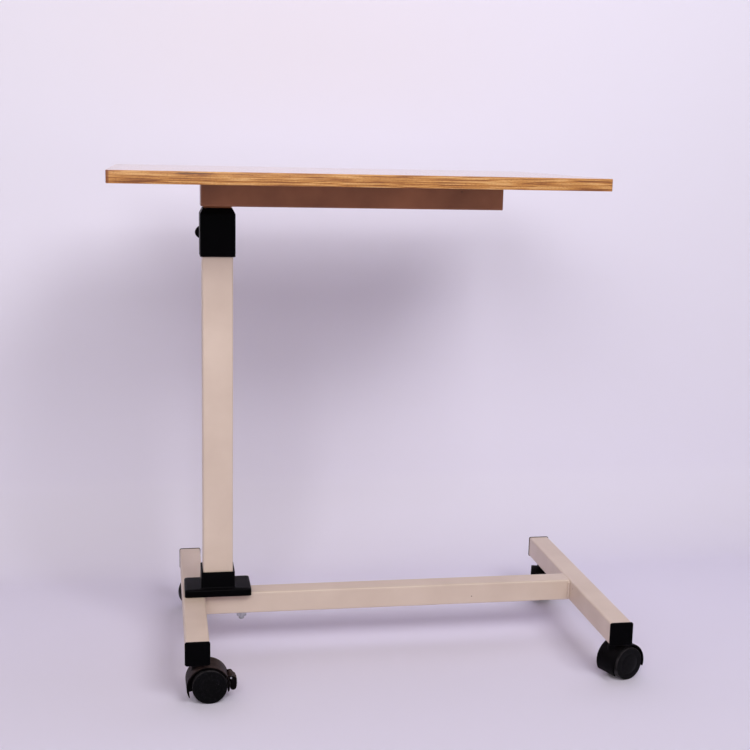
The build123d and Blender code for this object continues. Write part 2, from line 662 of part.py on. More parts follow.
def pedal_ears():
    """Ears on the hood that hold the pedal's pin."""
    pivot = polar(PEDAL_PIVOT_RADIUS, PEDAL_PIVOT_ANGLE)
    middle = HOOD_OUTER - HOOD_WALL / 2
    outline = Polyline(
        polar(middle, PEDAL_PIVOT_ANGLE - EAR_FOOT_SPREAD),
        polar(middle, PEDAL_PIVOT_ANGLE + EAR_FOOT_SPREAD),
        polar(PEDAL_PIVOT_RADIUS, PEDAL_PIVOT_ANGLE + EAR_TIP_SPREAD),
        polar(PEDAL_PIVOT_RADIUS, PEDAL_PIVOT_ANGLE - EAR_TIP_SPREAD),
        close=True,
    )
    face = make_face(outline) + Pos(*pivot) * Circle(EAR_RADIUS)
    inner = PEDAL_WIDTH / 2 + MOVING_GAP
    ear = extrude(face, EAR_THICKNESS)
    ears = Pos(0, 0, inner) * ear + Pos(0, 0, -inner - EAR_THICKNESS) * ear
    ears = Pos(HOOD_X, 0, HOOD_Z) * Rot(90, 0, 0) * ears
    return ears - pedal_pin(SEAT_FIT)


def pedal_pin(extra=0.0):
    pivot = polar(PEDAL_PIVOT_RADIUS, PEDAL_PIVOT_ANGLE)
    face = Pos(*pivot) * Circle(PEDAL_PIN_DIAMETER / 2 + extra)
    return side_profile(face, PEDAL_WIDTH / 2 + MOVING_GAP + EAR_THICKNESS)


def caster_housing(braked):
    """Hood, web and swivel boss in one moulding."""
    band = arc_band(HOOD_INNER, HOOD_OUTER, HOOD_REAR_ANGLE, HOOD_FRONT_ANGLE)
    hood = side_profile(band, HOOD_HALF_WIDTH)
    hood = fillet(hood.edges().filter_by(GeomType.CIRCLE), HOOD_FILLET)
    boss = rod(SWIVEL_BOSS_DIAMETER, WHEEL_RADIUS, HOUSING_TOP)
    boss -= side_profile(Circle(HOOD_INNER + HOOD_WALL / 2), HOOD_HALF_WIDTH)
    housing = hood + housing_web() + boss
    socket = SWIVEL_PIN_DIAMETER + 2 * RUNNING_FIT
    housing -= rod(socket, HOUSING_TOP - SWIVEL_SOCKET_DEPTH, HOUSING_TOP)
    housing -= across(AXLE_DIAMETER / 2 + SEAT_FIT, WEB_THICKNESS)
    if braked:
        window = arc_band(
            HOOD_INNER - CUT_OVERRUN,
            HOOD_OUTER + CUT_OVERRUN,
            PEDAL_PIVOT_ANGLE - WINDOW_FRONT_MARGIN,
            PEDAL_PIVOT_ANGLE + WINDOW_REAR_MARGIN,
        )
        housing -= side_profile(window, PEDAL_WIDTH / 2 + MOVING_GAP)
        housing += pedal_ears()
    return housing


def caster_wheel():
    """Cup-shaped wheel on the far side of the web, with a crowned outer face."""
    inner = WHEEL_INNER_FACE
    outer = inner + WHEEL_WIDTH
    disc = outer - WHEEL_DISC
    bore = AXLE_DIAMETER / 2 + RUNNING_FIT
    rim = WHEEL_RADIUS - WHEEL_RIM
    bore_end = outer - WHEEL_END_WALL
    section = Polyline(
        (bore, inner),
        (WHEEL_HUB_RADIUS, inner),
        (WHEEL_HUB_RADIUS, disc),
        (rim, disc),
        (rim, inner),
        (WHEEL_RADIUS - WHEEL_EDGE, inner),
        (WHEEL_RADIUS, inner + WHEEL_EDGE),
        (WHEEL_RADIUS, outer - WHEEL_SHOULDER_WIDTH),
        (WHEEL_RADIUS - WHEEL_SHOULDER_DROP, outer - WHEEL_SHOULDER_DROP),
        (WHEEL_FACE_RADIUS, outer - WHEEL_FACE_STEP),
        (0, outer),
        (0, bore_end),
        (bore, bore_end),
        close=True,
    )
    wheel = revolve(make_face(section), Axis.Y)
    return Pos(CASTER_TRAIL, 0, WHEEL_RADIUS) * wheel


def caster_axle():
    return across(AXLE_DIAMETER / 2, WHEEL_INNER_FACE + WHEEL_WIDTH - WHEEL_DISC)


def caster_pedal():
    """Brake pedal, down against the hood; its shoe reaches through the hood's window."""
    inner = HOOD_OUTER + PEDAL_GAP
    pivot = polar(PEDAL_PIVOT_RADIUS, PEDAL_PIVOT_ANGLE)
    ahead = pivot[0] - HOOD_SETBACK
    above = pivot[1] + HOOD_RISE
    face = arc_band(inner, inner + PEDAL_THICKNESS, PEDAL_TIP_ANGLE, PEDAL_SHOULDER_ANGLE)
    for angle in (PEDAL_TIP_ANGLE, PEDAL_SHOULDER_ANGLE):
        face += Pos(*polar(inner + PEDAL_THICKNESS / 2, angle)) * Circle(PEDAL_THICKNESS / 2)
    crown = PEDAL_PIVOT_RADIUS + PEDAL_BOSS_RADIUS
    face += arc_band(inner, crown, PEDAL_SHOULDER_ANGLE, PEDAL_PIVOT_ANGLE)
    reach = math.hypot(ahead, above) - WHEEL_RADIUS - SHOE_GAP
    shoe = Pos(-reach / 2, 0) * Rectangle(reach, SHOE_WIDTH)
    shoe = Pos(*pivot) * Rot(0, 0, math.degrees(math.atan2(above, ahead))) * shoe
    face += Pos(*pivot) * Circle(PEDAL_BOSS_RADIUS) + shoe
    pedal = side_profile(face, PEDAL_WIDTH / 2)
    return pedal - pedal_pin(RUNNING_FIT)


def caster_stem():
    """Threaded stem fixed in the foot, with a collar and the pin that the housing turns on."""
    thread = rod(STEM_THREAD_DIAMETER, TUBE_CLEARANCE, TUBE_CLEARANCE + STEM_THREAD_LENGTH)
    thread = chamfer(thread.edges().group_by(Axis.Z)[-1], THREAD_CHAMFER)
    collar = rod(STEM_COLLAR_DIAMETER, TUBE_CLEARANCE - STEM_COLLAR_HEIGHT, TUBE_CLEARANCE)
    depth = SWIVEL_SOCKET_DEPTH - MOVING_GAP
    pin = rod(SWIVEL_PIN_DIAMETER, HOUSING_TOP - depth, TUBE_CLEARANCE - STEM_COLLAR_HEIGHT)
    return thread + collar + pin


def stem_nut():
    low = TUBE_CLEARANCE + TUBE_WALL
    return hex_nut(low, STEM_NUT_HEIGHT, STEM_THREAD_DIAMETER + 2 * SEAT_FIT)


def caster_nodes():
    """All four casters, each turned to the way its trail points at rest."""
    nodes = {}
    stems = []
    nuts = []
    for name, x, y, swivel, braked in CASTERS:
        place = Pos(x, y, 0) * Rot(0, 0, swivel)
        wheel = caster_wheel()
        nodes[name + "_caster_housing"] = place * caster_housing(braked)
        nodes[name + "_caster_axle"] = place * caster_axle()
        nodes[name + "_wheel_a"] = place * wheel.mirror(Plane.XZ)
        nodes[name + "_wheel_b"] = place * wheel
        if braked:
            nodes[name + "_brake_pedal"] = place * caster_pedal()
            nodes[name + "_pedal_pin"] = place * pedal_pin()
        stems.append(Pos(x, y, 0) * caster_stem())
        nuts.append(Pos(x, y, 0) * stem_nut())
    nodes["caster_stems"] = joined(stems)
    nodes["caster_stem_nuts"] = joined(nuts)
    return nodes


# ---------------------------------------------------------------- the whole table


def table_nodes():
    nodes = {
        "left_foot_tube": left_foot_tube(),
        "right_foot_tube": foot_tube(RIGHT_FOOT_X),
        "crossbar_tube": crossbar_tube(),
        "crossbar_welds": crossbar_welds(),
        "left_front_end_cap": end_cap(LEFT_FOOT_X, -1),
        "left_rear_end_cap": end_cap(LEFT_FOOT_X, 1),
        "right_front_end_cap": end_cap(RIGHT_FOOT_X, -1),
        "right_rear_end_cap": end_cap(RIGHT_FOOT_X, 1),
        "column_foot_plate": column_foot_plate(),
        "column_weld": column_weld(),
        "column_bolts": column_bolts(),
        "column_washers": column_washers(),
        "column_nuts": column_nuts(),
        "socket_cover": socket_cover(),
        "outer_column_tube": outer_column_tube(),
        "guide_sleeve": guide_sleeve(),
        "column_head": column_head(),
        "lock_insert": lock_insert(),
        "clamp_pad": clamp_pad(),
        "lock_screw": lock_screw(),
        "lock_knob": lock_knob(),
        "knob_button": knob_button(),
        "inner_tube": inner_tube(),
        "lower_glide": lower_glide(),
        "mast_weld": mast_weld(),
        "support_rail": support_rail(),
        "rail_stiffener": rail_stiffener(),
        "tabletop_board": tabletop_board(),
        "bottom_laminate": bottom_laminate(),
        "top_laminate": top_laminate(),
        "edge_band": edge_band(),
        "tabletop_screws": tabletop_screws(),
    }
    nodes.update(caster_nodes())
    return nodes


def bottom_centre(nodes):
    """Middle of the bounding box of all nodes, at its lowest height."""
    boxes = [shape.bounding_box(optimal=True) for shape in nodes.values()]
    x = (min(b.min.X for b in boxes) + max(b.max.X for b in boxes)) / 2
    y = (min(b.min.Y for b in boxes) + max(b.max.Y for b in boxes)) / 2
    return Vector(x, y, min(b.min.Z for b in boxes))


nodes = table_nodes()
origin = bottom_centre(nodes)
os.makedirs("parts", exist_ok=True)
for name, shape in nodes.items():
    export_step(Pos(-origin.X, -origin.Y, -origin.Z) * shape, "parts/" + name + ".step")
print("origin", origin)
print("nodes", len(nodes))
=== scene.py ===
"""Overbed table on four hooded casters: the looks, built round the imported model."""

import json
import math

import bmesh
import bpy
from mathutils import Matrix, Vector


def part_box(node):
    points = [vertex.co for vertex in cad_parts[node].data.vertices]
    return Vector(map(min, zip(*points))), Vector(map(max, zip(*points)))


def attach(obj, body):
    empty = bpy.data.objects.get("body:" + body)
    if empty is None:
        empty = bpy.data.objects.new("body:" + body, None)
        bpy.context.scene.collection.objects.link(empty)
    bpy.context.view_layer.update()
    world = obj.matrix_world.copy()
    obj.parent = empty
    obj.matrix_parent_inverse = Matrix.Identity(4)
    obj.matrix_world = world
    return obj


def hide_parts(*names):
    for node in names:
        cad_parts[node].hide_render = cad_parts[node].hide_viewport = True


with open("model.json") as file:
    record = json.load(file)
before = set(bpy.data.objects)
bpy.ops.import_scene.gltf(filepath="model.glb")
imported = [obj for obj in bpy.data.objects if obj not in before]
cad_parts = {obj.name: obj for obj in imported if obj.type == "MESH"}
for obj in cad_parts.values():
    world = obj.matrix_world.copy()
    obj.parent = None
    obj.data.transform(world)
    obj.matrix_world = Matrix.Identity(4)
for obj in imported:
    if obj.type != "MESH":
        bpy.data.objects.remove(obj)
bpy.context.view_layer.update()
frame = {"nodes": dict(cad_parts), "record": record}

MM = 0.001
NODES = frame["nodes"]
RECORD = frame["record"]
BODY_OF = {node: body for body, names in RECORD["behaviour"]["bodies"].items() for node in names}
SLOT_OF = {part["node"]: part["material_slot"] for part in RECORD["subparts"]}
JOINTS = {joint["name"]: joint for joint in RECORD["behaviour"]["joints"]}
CASTERS = ("front_left", "front_right", "rear_left", "rear_right")
BRAKED = ("front_left", "rear_left")

# kinds of node and settings that come up again and again
MATH = "ShaderNodeMath"
SUM, LESS, TIMES, OVER = ({"operation": name} for name in ("ADD", "SUBTRACT", "MULTIPLY", "DIVIDE"))
SIZE, MORE, FRACT = ({"operation": name} for name in ("ABSOLUTE", "MAXIMUM", "FRACT"))
RANGE = "ShaderNodeMapRange"
NOISE = "ShaderNodeTexNoise"
VORONOI = "ShaderNodeTexVoronoi"
RAMP = "ShaderNodeValToRGB"
MAPPING = "ShaderNodeMapping"
XYZ = "ShaderNodeCombineXYZ"
CUBE = "GeometryNodeMeshCube"
BOOLEAN = "GeometryNodeMeshBoolean"
SPLIT = "ShaderNodeSeparateXYZ"
COORDINATES = "ShaderNodeTexCoord"
BUMP = "ShaderNodeBump"
TRANSFORM = "GeometryNodeTransform"
CYLINDER = "GeometryNodeMeshCylinder"
INSTANCES = "GeometryNodeInstanceOnPoints"
MIX = "ShaderNodeMix"
COLOUR_MIX = {"data_type": "RGBA"}
COLOUR_TIMES = {"data_type": "RGBA", "blend_type": "MULTIPLY"}


# ---------------- colours and nodes


def hex_colour(text):
    """An sRGB hex colour as linear RGBA."""
    channels = [int(text[i : i + 2], 16) / 255 for i in (0, 2, 4)]
    linear = [c / 12.92 if c <= 0.04045 else ((c + 0.055) / 1.055) ** 2.4 for c in channels]
    return (*linear, 1.0)


def add(tree, kind, settings=None, inputs=None, stops=None):
    """Adds one node. Inputs are plain values, or nodes or sockets to link from; stops colour a ramp."""
    made = tree.nodes.new(kind)
    for key, value in (settings or {}).items():
        setattr(made, key, value)
    for key, value in (inputs or {}).items():
        if isinstance(value, bpy.types.Node):
            value = value.outputs[0]
        if isinstance(value, bpy.types.NodeSocket):
            tree.links.new(value, made.inputs[key])
        else:
            made.inputs[key].default_value = value
    if stops:
        elements = made.color_ramp.elements
        while len(elements) < len(stops):
            elements.new(0.5)
        for element, (position, text) in zip(elements, stops):
            element.position = position
            element.color = hex_colour(text)
    return made


def new_material(name, constants):
    """A material whose shader has these constants; returns it with its tree and shader."""
    material = bpy.data.materials.new(name)
    material.use_nodes = True
    tree = material.node_tree
    shader = tree.nodes["Principled BSDF"]
    for key, value in constants.items():
        shader.inputs[key].default_value = value
    return material, tree, shader


def dress(tree, shader, colour, bump=None):
    """Gives a shader its colour, and its bump where there is one."""
    tree.links.new(colour, shader.inputs["Base Color"])
    if bump:
        tree.links.new(bump.outputs[0], shader.inputs["Normal"])


# ---------------- finishes


def powder_coat(name, pale, dark, speck):
    """Polyester powder coat on steel: even satin colour, fine orange peel, a few dark specks."""
    material, tree, shader = new_material(name, {"Roughness": 0.4, "IOR": 1.5})
    place = add(tree, COORDINATES).outputs["Object"]
    # uneven film build, clouds some 70 mm across
    cloud = add(tree, NOISE, inputs={"Vector": place, "Scale": 14.0, "Detail": 4.0})
    body = add(tree, RAMP, inputs={"Fac": cloud}, stops=[(0.3, dark), (0.7, pale)])
    # specks about 1.5 mm across, one cell in ten of 18 mm
    cells = add(tree, VORONOI, inputs={"Vector": place, "Scale": 55.0})
    pick = add(tree, "ShaderNodeSeparateColor", inputs={0: cells.outputs["Color"]})
    spot = add(tree, RANGE, inputs={0: cells.outputs["Distance"], 1: 0.03, 2: 0.06, 3: 1.0, 4: 0.0})
    few = add(tree, RANGE, inputs={0: pick, 1: 0.9, 2: 0.9001, 3: 0.0, 4: 1.0})
    spot = add(tree, MATH, TIMES, {0: spot, 1: few})
    colour = add(tree, MIX, COLOUR_MIX, {0: spot, 6: body, 7: hex_colour(speck)}).outputs[2]
    # orange peel of about 1.2 mm, a little coarser than real so that it shows
    peel = add(tree, NOISE, inputs={"Vector": place, "Scale": 800.0, "Detail": 2.0})
    bump = add(tree, BUMP, inputs={"Height": peel, "Strength": 0.25, "Distance": 0.05 * MM})
    dress(tree, shader, colour, bump)
    return material


def moulded_plastic(name, base, dust, dust_share, roughness):
    """Moulded black plastic with a fine grain; dust lies on what faces up."""
    constants = {"Roughness": roughness, "IOR": 1.49, "Specular IOR Level": 0.03}
    material, tree, shader = new_material(name, constants)
    place = add(tree, COORDINATES).outputs["Object"]
    facing = add(tree, SPLIT, inputs={0: add(tree, "ShaderNodeNewGeometry").outputs["Normal"]})
    upward = add(tree, RANGE, inputs={0: facing.outputs["Z"], 1: 0.15, 2: 0.95, 3: 0.04, 4: 1.0})
    # smudges some 8 mm across
    smudge = add(tree, NOISE, inputs={"Vector": place, "Scale": 130.0, "Detail": 6.0, "Roughness": 0.65})
    patchy = add(tree, RANGE, inputs={0: smudge, 1: 0.35, 2: 0.7, 3: 0.35, 4: 1.0})
    share = add(tree, MATH, TIMES, {0: add(tree, MATH, TIMES, {0: upward, 1: patchy}), 1: dust_share})
    colour = add(tree, MIX, COLOUR_MIX, {0: share, 6: hex_colour(base), 7: hex_colour(dust)}).outputs[2]
    # spark-eroded grain of about 0.5 mm
    grain = add(tree, NOISE, inputs={"Vector": place, "Scale": 1 / (0.5 * MM), "Detail": 3.0})
    bump = add(tree, BUMP, inputs={"Height": grain, "Strength": 0.3, "Distance": 0.04 * MM})
    dress(tree, shader, colour, bump)
    return material


def wheel_nylon():
    """Moulded nylon wheel: smooth black face with pale scuffs, a tread grey with floor dust."""
    constants = {"Roughness": 0.34, "IOR": 1.53, "Specular IOR Level": 0.06}
    material, tree, shader = new_material("moulded_nylon_wheel", constants)
    place = add(tree, COORDINATES).outputs["Object"]
    tread = add(tree, "ShaderNodeAttribute", {"attribute_name": "tread"}).outputs["Fac"]
    # scuffs some 9 mm long and 1.5 mm wide, drawn out upright
    drawn = add(tree, MAPPING, inputs={"Vector": place, "Scale": (420.0, 420.0, 110.0)})
    scuff = add(tree, NOISE, inputs={"Vector": drawn, "Detail": 3.0, "Distortion": 0.8})
    marks = add(tree, RANGE, inputs={0: scuff, 1: 0.62, 2: 0.72, 3: 0.0, 4: 0.5})
    smudge = add(tree, NOISE, inputs={"Vector": place, "Scale": 180.0, "Detail": 5.0})
    patchy = add(tree, RANGE, inputs={0: smudge, 1: 0.3, 2: 0.7, 3: 0.2, 4: 0.75})
    film = add(tree, MATH, TIMES, {0: tread, 1: patchy})
    share = add(tree, MATH, MORE, {0: marks, 1: film})
    shades = {0: share, 6: hex_colour("030304"), 7: hex_colour("4C484C")}
    colour = add(tree, MIX, COLOUR_MIX, shades).outputs[2]
    bump = add(tree, BUMP, inputs={"Height": smudge, "Strength": 0.15, "Distance": 0.03 * MM})
    dress(tree, shader, colour, bump)
    return material


def wood_grain_band():
    """Printed PVC edge band: long wavy streaks along the edge, on the band's own UV in metres."""
    material, tree, shader = new_material("pvc_edge_band_wood_print", {"Roughness": 0.38, "IOR": 1.53})
    uv = add(tree, "ShaderNodeUVMap", {"uv_map": "band"}).outputs["UV"]
    # streaks some 45 mm long and 1.8 mm high
    drawn = add(tree, MAPPING, inputs={"Vector": uv, "Scale": (1 / 0.06, 1 / 0.0020, 1.0)})
    flowing = {"Vector": drawn, "Scale": 1.0, "Detail": 4.0, "Roughness": 0.6, "Distortion": 0.3}
    streaks = add(tree, NOISE, {"noise_dimensions": "2D"}, flowing)
    browns = [(0.34, "824C22"), (0.43, "B4783A"), (0.54, "CE9450"), (0.66, "E6B476")]
    body = add(tree, RAMP, inputs={"Fac": streaks}, stops=browns)
    # fine pores 12 mm long and 0.5 mm high
    thin = add(tree, MAPPING, inputs={"Vector": uv, "Scale": (1 / 0.012, 1 / 0.0005, 1.0)})
    pores = add(tree, NOISE, {"noise_dimensions": "2D"}, {"Vector": thin, "Detail": 2.0})
    lines = add(tree, RAMP, inputs={"Fac": pores}, stops=[(0.38, "8A5E34"), (0.5, "FFFFFF")])
    body = add(tree, MIX, COLOUR_TIMES, {0: 0.65, 6: body, 7: lines}).outputs[2]
    # one dark mineral streak 45 mm long, 2.5 mm under the top edge of the front
    along = add(tree, SPLIT, inputs={0: uv})
    fade_in = add(tree, RANGE, inputs={0: along.outputs["X"], 1: 0.073, 2: 0.080, 3: 0.0, 4: 1.0})
    fade_out = add(tree, RANGE, inputs={0: along.outputs["X"], 1: 0.095, 2: 0.121, 3: 1.0, 4: 0.0})
    ends = add(tree, MATH, TIMES, {0: fade_in, 1: fade_out})
    wander = add(tree, NOISE, {"noise_dimensions": "1D"}, {"W": along.outputs["X"], "Scale": 110.0})
    line = add(tree, RANGE, inputs={0: wander, 1: 0.0, 2: 1.0, 3: 0.0122, 4: 0.0146})
    off = add(tree, MATH, SIZE, {0: add(tree, MATH, LESS, {0: along.outputs["Y"], 1: line})})
    soft = add(tree, RANGE, inputs={0: off, 1: 0.0004, 2: 0.0011, 3: 0.9, 4: 0.0})
    mark = add(tree, MATH, TIMES, {0: ends, 1: soft})
    body = add(tree, MIX, COLOUR_MIX, {0: mark, 6: body, 7: hex_colour("5A3620")}).outputs[2]
    # painted shade where the band turns round the front left corner: darker and redder for some 4 mm,
    # standing in for the rounded corner turning away from the light
    joint = add(tree, RANGE, inputs={0: along.outputs["X"], 1: 0.0, 2: 0.0012, 3: 0.7, 4: 0.0})
    body = add(tree, MIX, COLOUR_MIX, {0: joint, 6: body, 7: hex_colour("7A3A22")}).outputs[2]
    bump = add(tree, BUMP, inputs={"Height": pores, "Strength": 0.2, "Distance": 0.05 * MM})
    dress(tree, shader, body, bump)
    return material


def wood_grain_top():
    """Melamine laminate with a printed wood grain along the top, satin and easy to wipe."""
    constants = {"Roughness": 0.12, "IOR": 1.6, "Coat Weight": 0.5, "Coat Roughness": 0.06}
    material, tree, shader = new_material("melamine_wood_grain", constants)
    place = add(tree, COORDINATES).outputs["Object"]
    # growth lines some 9 mm apart, drawn out along the board's length
    drawn = add(tree, MAPPING, inputs={"Vector": place, "Scale": (2.2, 22.0, 1.0)})
    wander = add(tree, NOISE, inputs={"Vector": drawn, "Scale": 1.0, "Detail": 3.0, "Distortion": 0.4})
    rings = add(tree, MATH, FRACT, {0: add(tree, MATH, TIMES, {0: wander, 1: 11.0})})
    tans = [(0.0, "DCB184"), (0.55, "E4BD92"), (0.85, "CE9E6C"), (1.0, "DCB184")]
    body = add(tree, RAMP, inputs={"Fac": rings}, stops=tans)
    # pores 17 mm long and 0.7 mm wide
    fine = add(tree, MAPPING, inputs={"Vector": place, "Scale": (60.0, 1400.0, 1.0)})
    pores = add(tree, NOISE, inputs={"Vector": fine, "Scale": 1.0, "Detail": 2.0})
    lines = add(tree, RAMP, inputs={"Fac": pores}, stops=[(0.38, "B99064"), (0.52, "FFFFFF")])
    colour = add(tree, MIX, COLOUR_TIMES, {0: 0.5, 6: body, 7: lines}).outputs[2]
    dress(tree, shader, colour)
    return material


def clouded(name, constants, scale, pale, dark, kind=NOISE):
    """A finish whose colour only wanders between two tones over a pattern of this scale."""
    material, tree, shader = new_material(name, constants)
    place = add(tree, COORDINATES).outputs["Object"]
    cloud = add(tree, kind, inputs={"Vector": place, "Scale": scale})
    tones = add(tree, RAMP, inputs={"Fac": cloud}, stops=[(0.3, dark), (0.7, pale)])
    dress(tree, shader, tones.outputs["Color"])
    return material


FINISHES = {
    "frame_paint": powder_coat("beige_powder_coat", "DCCABD", "D1BEB1", "6E5A4C"),
    "mast_paint": powder_coat("brown_powder_coat", "A26743", "7E4B2B", "3A241C"),
    # polypropylene mouldings: black, matt grain, a little dust on the ledges
    "moulded_black": moulded_plastic("moulded_polypropylene", "020203", "332E36", 0.08, 0.36),
    # glass-filled nylon of the knob: harder and a little glossier
    "knob_plastic": moulded_plastic("knob_glass_filled_nylon", "020203", "302B34", 0.1, 0.34),
    # nylon hoods near the floor: brown-grey dust over the crown
    "caster_plastic": moulded_plastic("caster_nylon_dusty", "030203", "5E4D4A", 0.55, 0.42),
    "wheel_nylon": wheel_nylon(),
    # acetal glides: milky and slippery
    "guide_plastic": clouded("natural_acetal", {"Roughness": 0.35, "IOR": 1.48}, 80.0, "EBEBE6", "DCDCD6"),
    # raw particle board: chips of some 2.5 mm pressed together
    "board": clouded("particle_board", {"Roughness": 0.85}, 400.0, "B9935F", "7E5F3A", VORONOI),
    "top_laminate": wood_grain_top(),
    # balancing laminate under the board: plain, paper-like, faint clouds of 30 mm
    "back_laminate": clouded("balancing_laminate", {"Roughness": 0.5, "IOR": 1.52}, 30.0, "DED1C6", "D3C4B8"),
    "edge_band": wood_grain_band(),
    # bright zinc plate: cool grey metal with stains of some 4 mm
    "zinc_steel": clouded(
        "bright_zinc_plate", {"Metallic": 1.0, "Roughness": 0.32}, 260.0, "C9CACC", "A9ABAF"
    ),
}
# the casters without a brake are cleaner
CLEAN_NYLON = moulded_plastic("caster_nylon", "030304", "343034", 0.2, 0.38)


def paint_cad_node(name):
    """A CAD node that stays takes its slot's finish."""
    mesh = NODES[name].data
    mesh.materials.clear()
    mesh.materials.append(FINISHES[SLOT_OF[name]])


# ---------------- mesh helpers
# Points are in millimetres in the piece's own frame; a matrix in metres puts them in place.


def corners(node):
    """Lowest and highest corners of a CAD node in mm."""
    low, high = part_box(node)
    return Vector(low) / MM, Vector(high) / MM


def moved(x, y, z):
    """Matrix that moves by this many millimetres."""
    return Matrix.Translation(Vector((x, y, z)) * MM)


def turned(degrees, axis):
    """Matrix that turns about one of the axes."""
    return Matrix.Rotation(math.radians(degrees), 4, axis)


def new_object(name, data):
    """An object with this mesh, lamp or camera, in the scene."""
    made = bpy.data.objects.new(name, data)
    bpy.context.scene.collection.objects.link(made)
    return made


def place_piece(mesh, name, *nodes, smooth=35.0, finish=None):
    """Makes a mesh the piece that stands for CAD nodes of one body and one slot."""
    piece = new_object(name, mesh)
    slot = SLOT_OF[nodes[0]]
    mesh.materials.clear()
    mesh.materials.append(finish or FINISHES[slot])
    mesh.shade_smooth()
    mesh.set_sharp_from_angle(angle=math.radians(smooth))
    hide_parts(*nodes)
    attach(piece, BODY_OF[nodes[0]])
    return piece


def plain_mesh(build, name):
    """Turns a bmesh into a mesh as it is."""
    mesh = bpy.data.meshes.new(name)
    build.to_mesh(mesh)
    build.free()
    return mesh


def mesh_from(build, name):
    """Closes a bmesh into a mesh with its faces pointing outwards."""
    bmesh.ops.remove_doubles(build, verts=build.verts, dist=0.001 * MM)
    bmesh.ops.recalc_face_normals(build, faces=build.faces)
    return plain_mesh(build, name)


def skin(build, loops, turn, ring=False):
    """Joins loops of points into a closed shell: a ring of loops, or a solid with two end faces."""
    rows = [[build.verts.new(turn @ (Vector(point) * MM)) for point in loop] for loop in loops]
    pairs = list(zip(rows, rows[1:]))
    if ring:
        pairs.append((rows[-1], rows[0]))
    else:
        build.faces.new(rows[0][::-1])
        build.faces.new(rows[-1])
    for low, high in pairs:
        count = len(low)
        for i in range(count):
            j = (i + 1) % count
            build.faces.new((low[i], low[j], high[j], high[i]))


def square(half, radius, z):
    """Outline of a square with rounded corners."""
    return outline(half, half, radius, z)


def outline(half_x, half_y, radius, z, steps=5):
    """Rectangle with rounded corners at a height, anticlockwise from its front left corner."""
    points = []
    for corner, (side_x, side_y) in enumerate(((-1, -1), (1, -1), (1, 1), (-1, 1))):
        for i in range(steps + 1):
            angle = math.pi * (1 + corner / 2 + i / steps / 2)
            x = side_x * (half_x - radius) + radius * math.cos(angle)
            y = side_y * (half_y - radius) + radius * math.sin(angle)
            points.append((x, y, z))
    return points


def circle(radius, z, steps):
    """Points round Z at a height."""
    angles = [2 * math.pi * i / steps for i in range(steps)]
    return [(radius * math.cos(a), radius * math.sin(a), z) for a in angles]


def lathe(build, profile, turn, steps, ring=False):
    """Revolves (radius, height) points about Z; a radius under 0.05 mm is the middle of a face."""
    skin(build, [circle(radius, z, steps) for radius, z in profile], turn, ring)


def arc(x, z, radius, degrees):
    """Points (x, z) of an arc round a centre, at these angles."""
    turns = [math.radians(a) for a in degrees]
    return [(x + radius * math.cos(turn), z + radius * math.sin(turn)) for turn in turns]


def prism(build, points, half_width, turn, edge=0.0):
    """Extrudes (x, z) points both ways along Y, with its edges rounded."""
    work = bmesh.new()
    loops = [[(x, side * half_width, z) for x, z in points] for side in (-1, 1)]
    skin(work, loops, Matrix.Identity(4))
    if edge:
        rims = [e for e in work.edges if abs(e.verts[0].co.y - e.verts[1].co.y) < 1e-7]
        bmesh.ops.bevel(
            work, geom=rims, offset=edge * MM, segments=2, profile=0.5, affect="EDGES", clamp_overlap=True
        )
    fold_mesh(build, plain_mesh(work, "bar"), turn)


def fold_mesh(build, mesh, turn):
    """Adds a plain mesh to a bmesh at its place."""
    mesh.transform(turn)
    build.from_mesh(mesh)
    bpy.data.meshes.remove(mesh)


def settled(piece):
    """The plain mesh of an object with its modifiers run."""
    bpy.context.view_layer.update()
    graph = bpy.context.evaluated_depsgraph_get()
    return bpy.data.meshes.new_from_object(piece.evaluated_get(graph))


def cut_away(mesh, tool):
    """The mesh less the closed mesh of a tool."""
    piece, cutter = (new_object(item.name, item) for item in (mesh, tool))
    cut = piece.modifiers.new("cut", "BOOLEAN")
    cut.operation = "DIFFERENCE"
    cut.solver = "EXACT"
    cut.object = cutter
    result = settled(piece)
    piece.modifiers.remove(cut)
    for item in (mesh, tool):
        bpy.data.meshes.remove(item)
    return result


# ---------------- geometry node helpers


def node_tree(name, inputs):
    """An empty geometry tree with named inputs, whole or not as their defaults are, and one output."""
    tree = bpy.data.node_groups.new(name, "GeometryNodeTree")
    for label, value in inputs.items():
        kind = "NodeSocketInt" if isinstance(value, int) else "NodeSocketFloat"
        tree.interface.new_socket(label, in_out="INPUT", socket_type=kind).default_value = value
    tree.interface.new_socket("Geometry", in_out="OUTPUT", socket_type="NodeSocketGeometry")
    return tree, add(tree, "NodeGroupInput").outputs, add(tree, "NodeGroupOutput")


def finish_tree(tree, end, geometry, material):
    """Realizes the instances and gives them their material."""
    real = add(tree, "GeometryNodeRealizeInstances", inputs={0: geometry})
    painted = add(tree, "GeometryNodeSetMaterial", inputs={0: real, "Material": material})
    tree.links.new(painted.outputs[0], end.inputs[0])


def grow(tree, name, values):
    """Runs a tree with these inputs and returns the plain mesh that it makes."""
    piece = new_object("work", bpy.data.meshes.new(name))
    modifier = piece.modifiers.new("grow", "NODES")
    modifier.node_group = tree
    for item in tree.interface.items_tree:
        if item.in_out == "INPUT" and item.name in values:
            modifier[item.identifier] = values[item.name]
    mesh = settled(piece)
    mesh.name = name
    piece.modifiers.remove(modifier)
    bpy.data.objects.remove(piece)
    return mesh


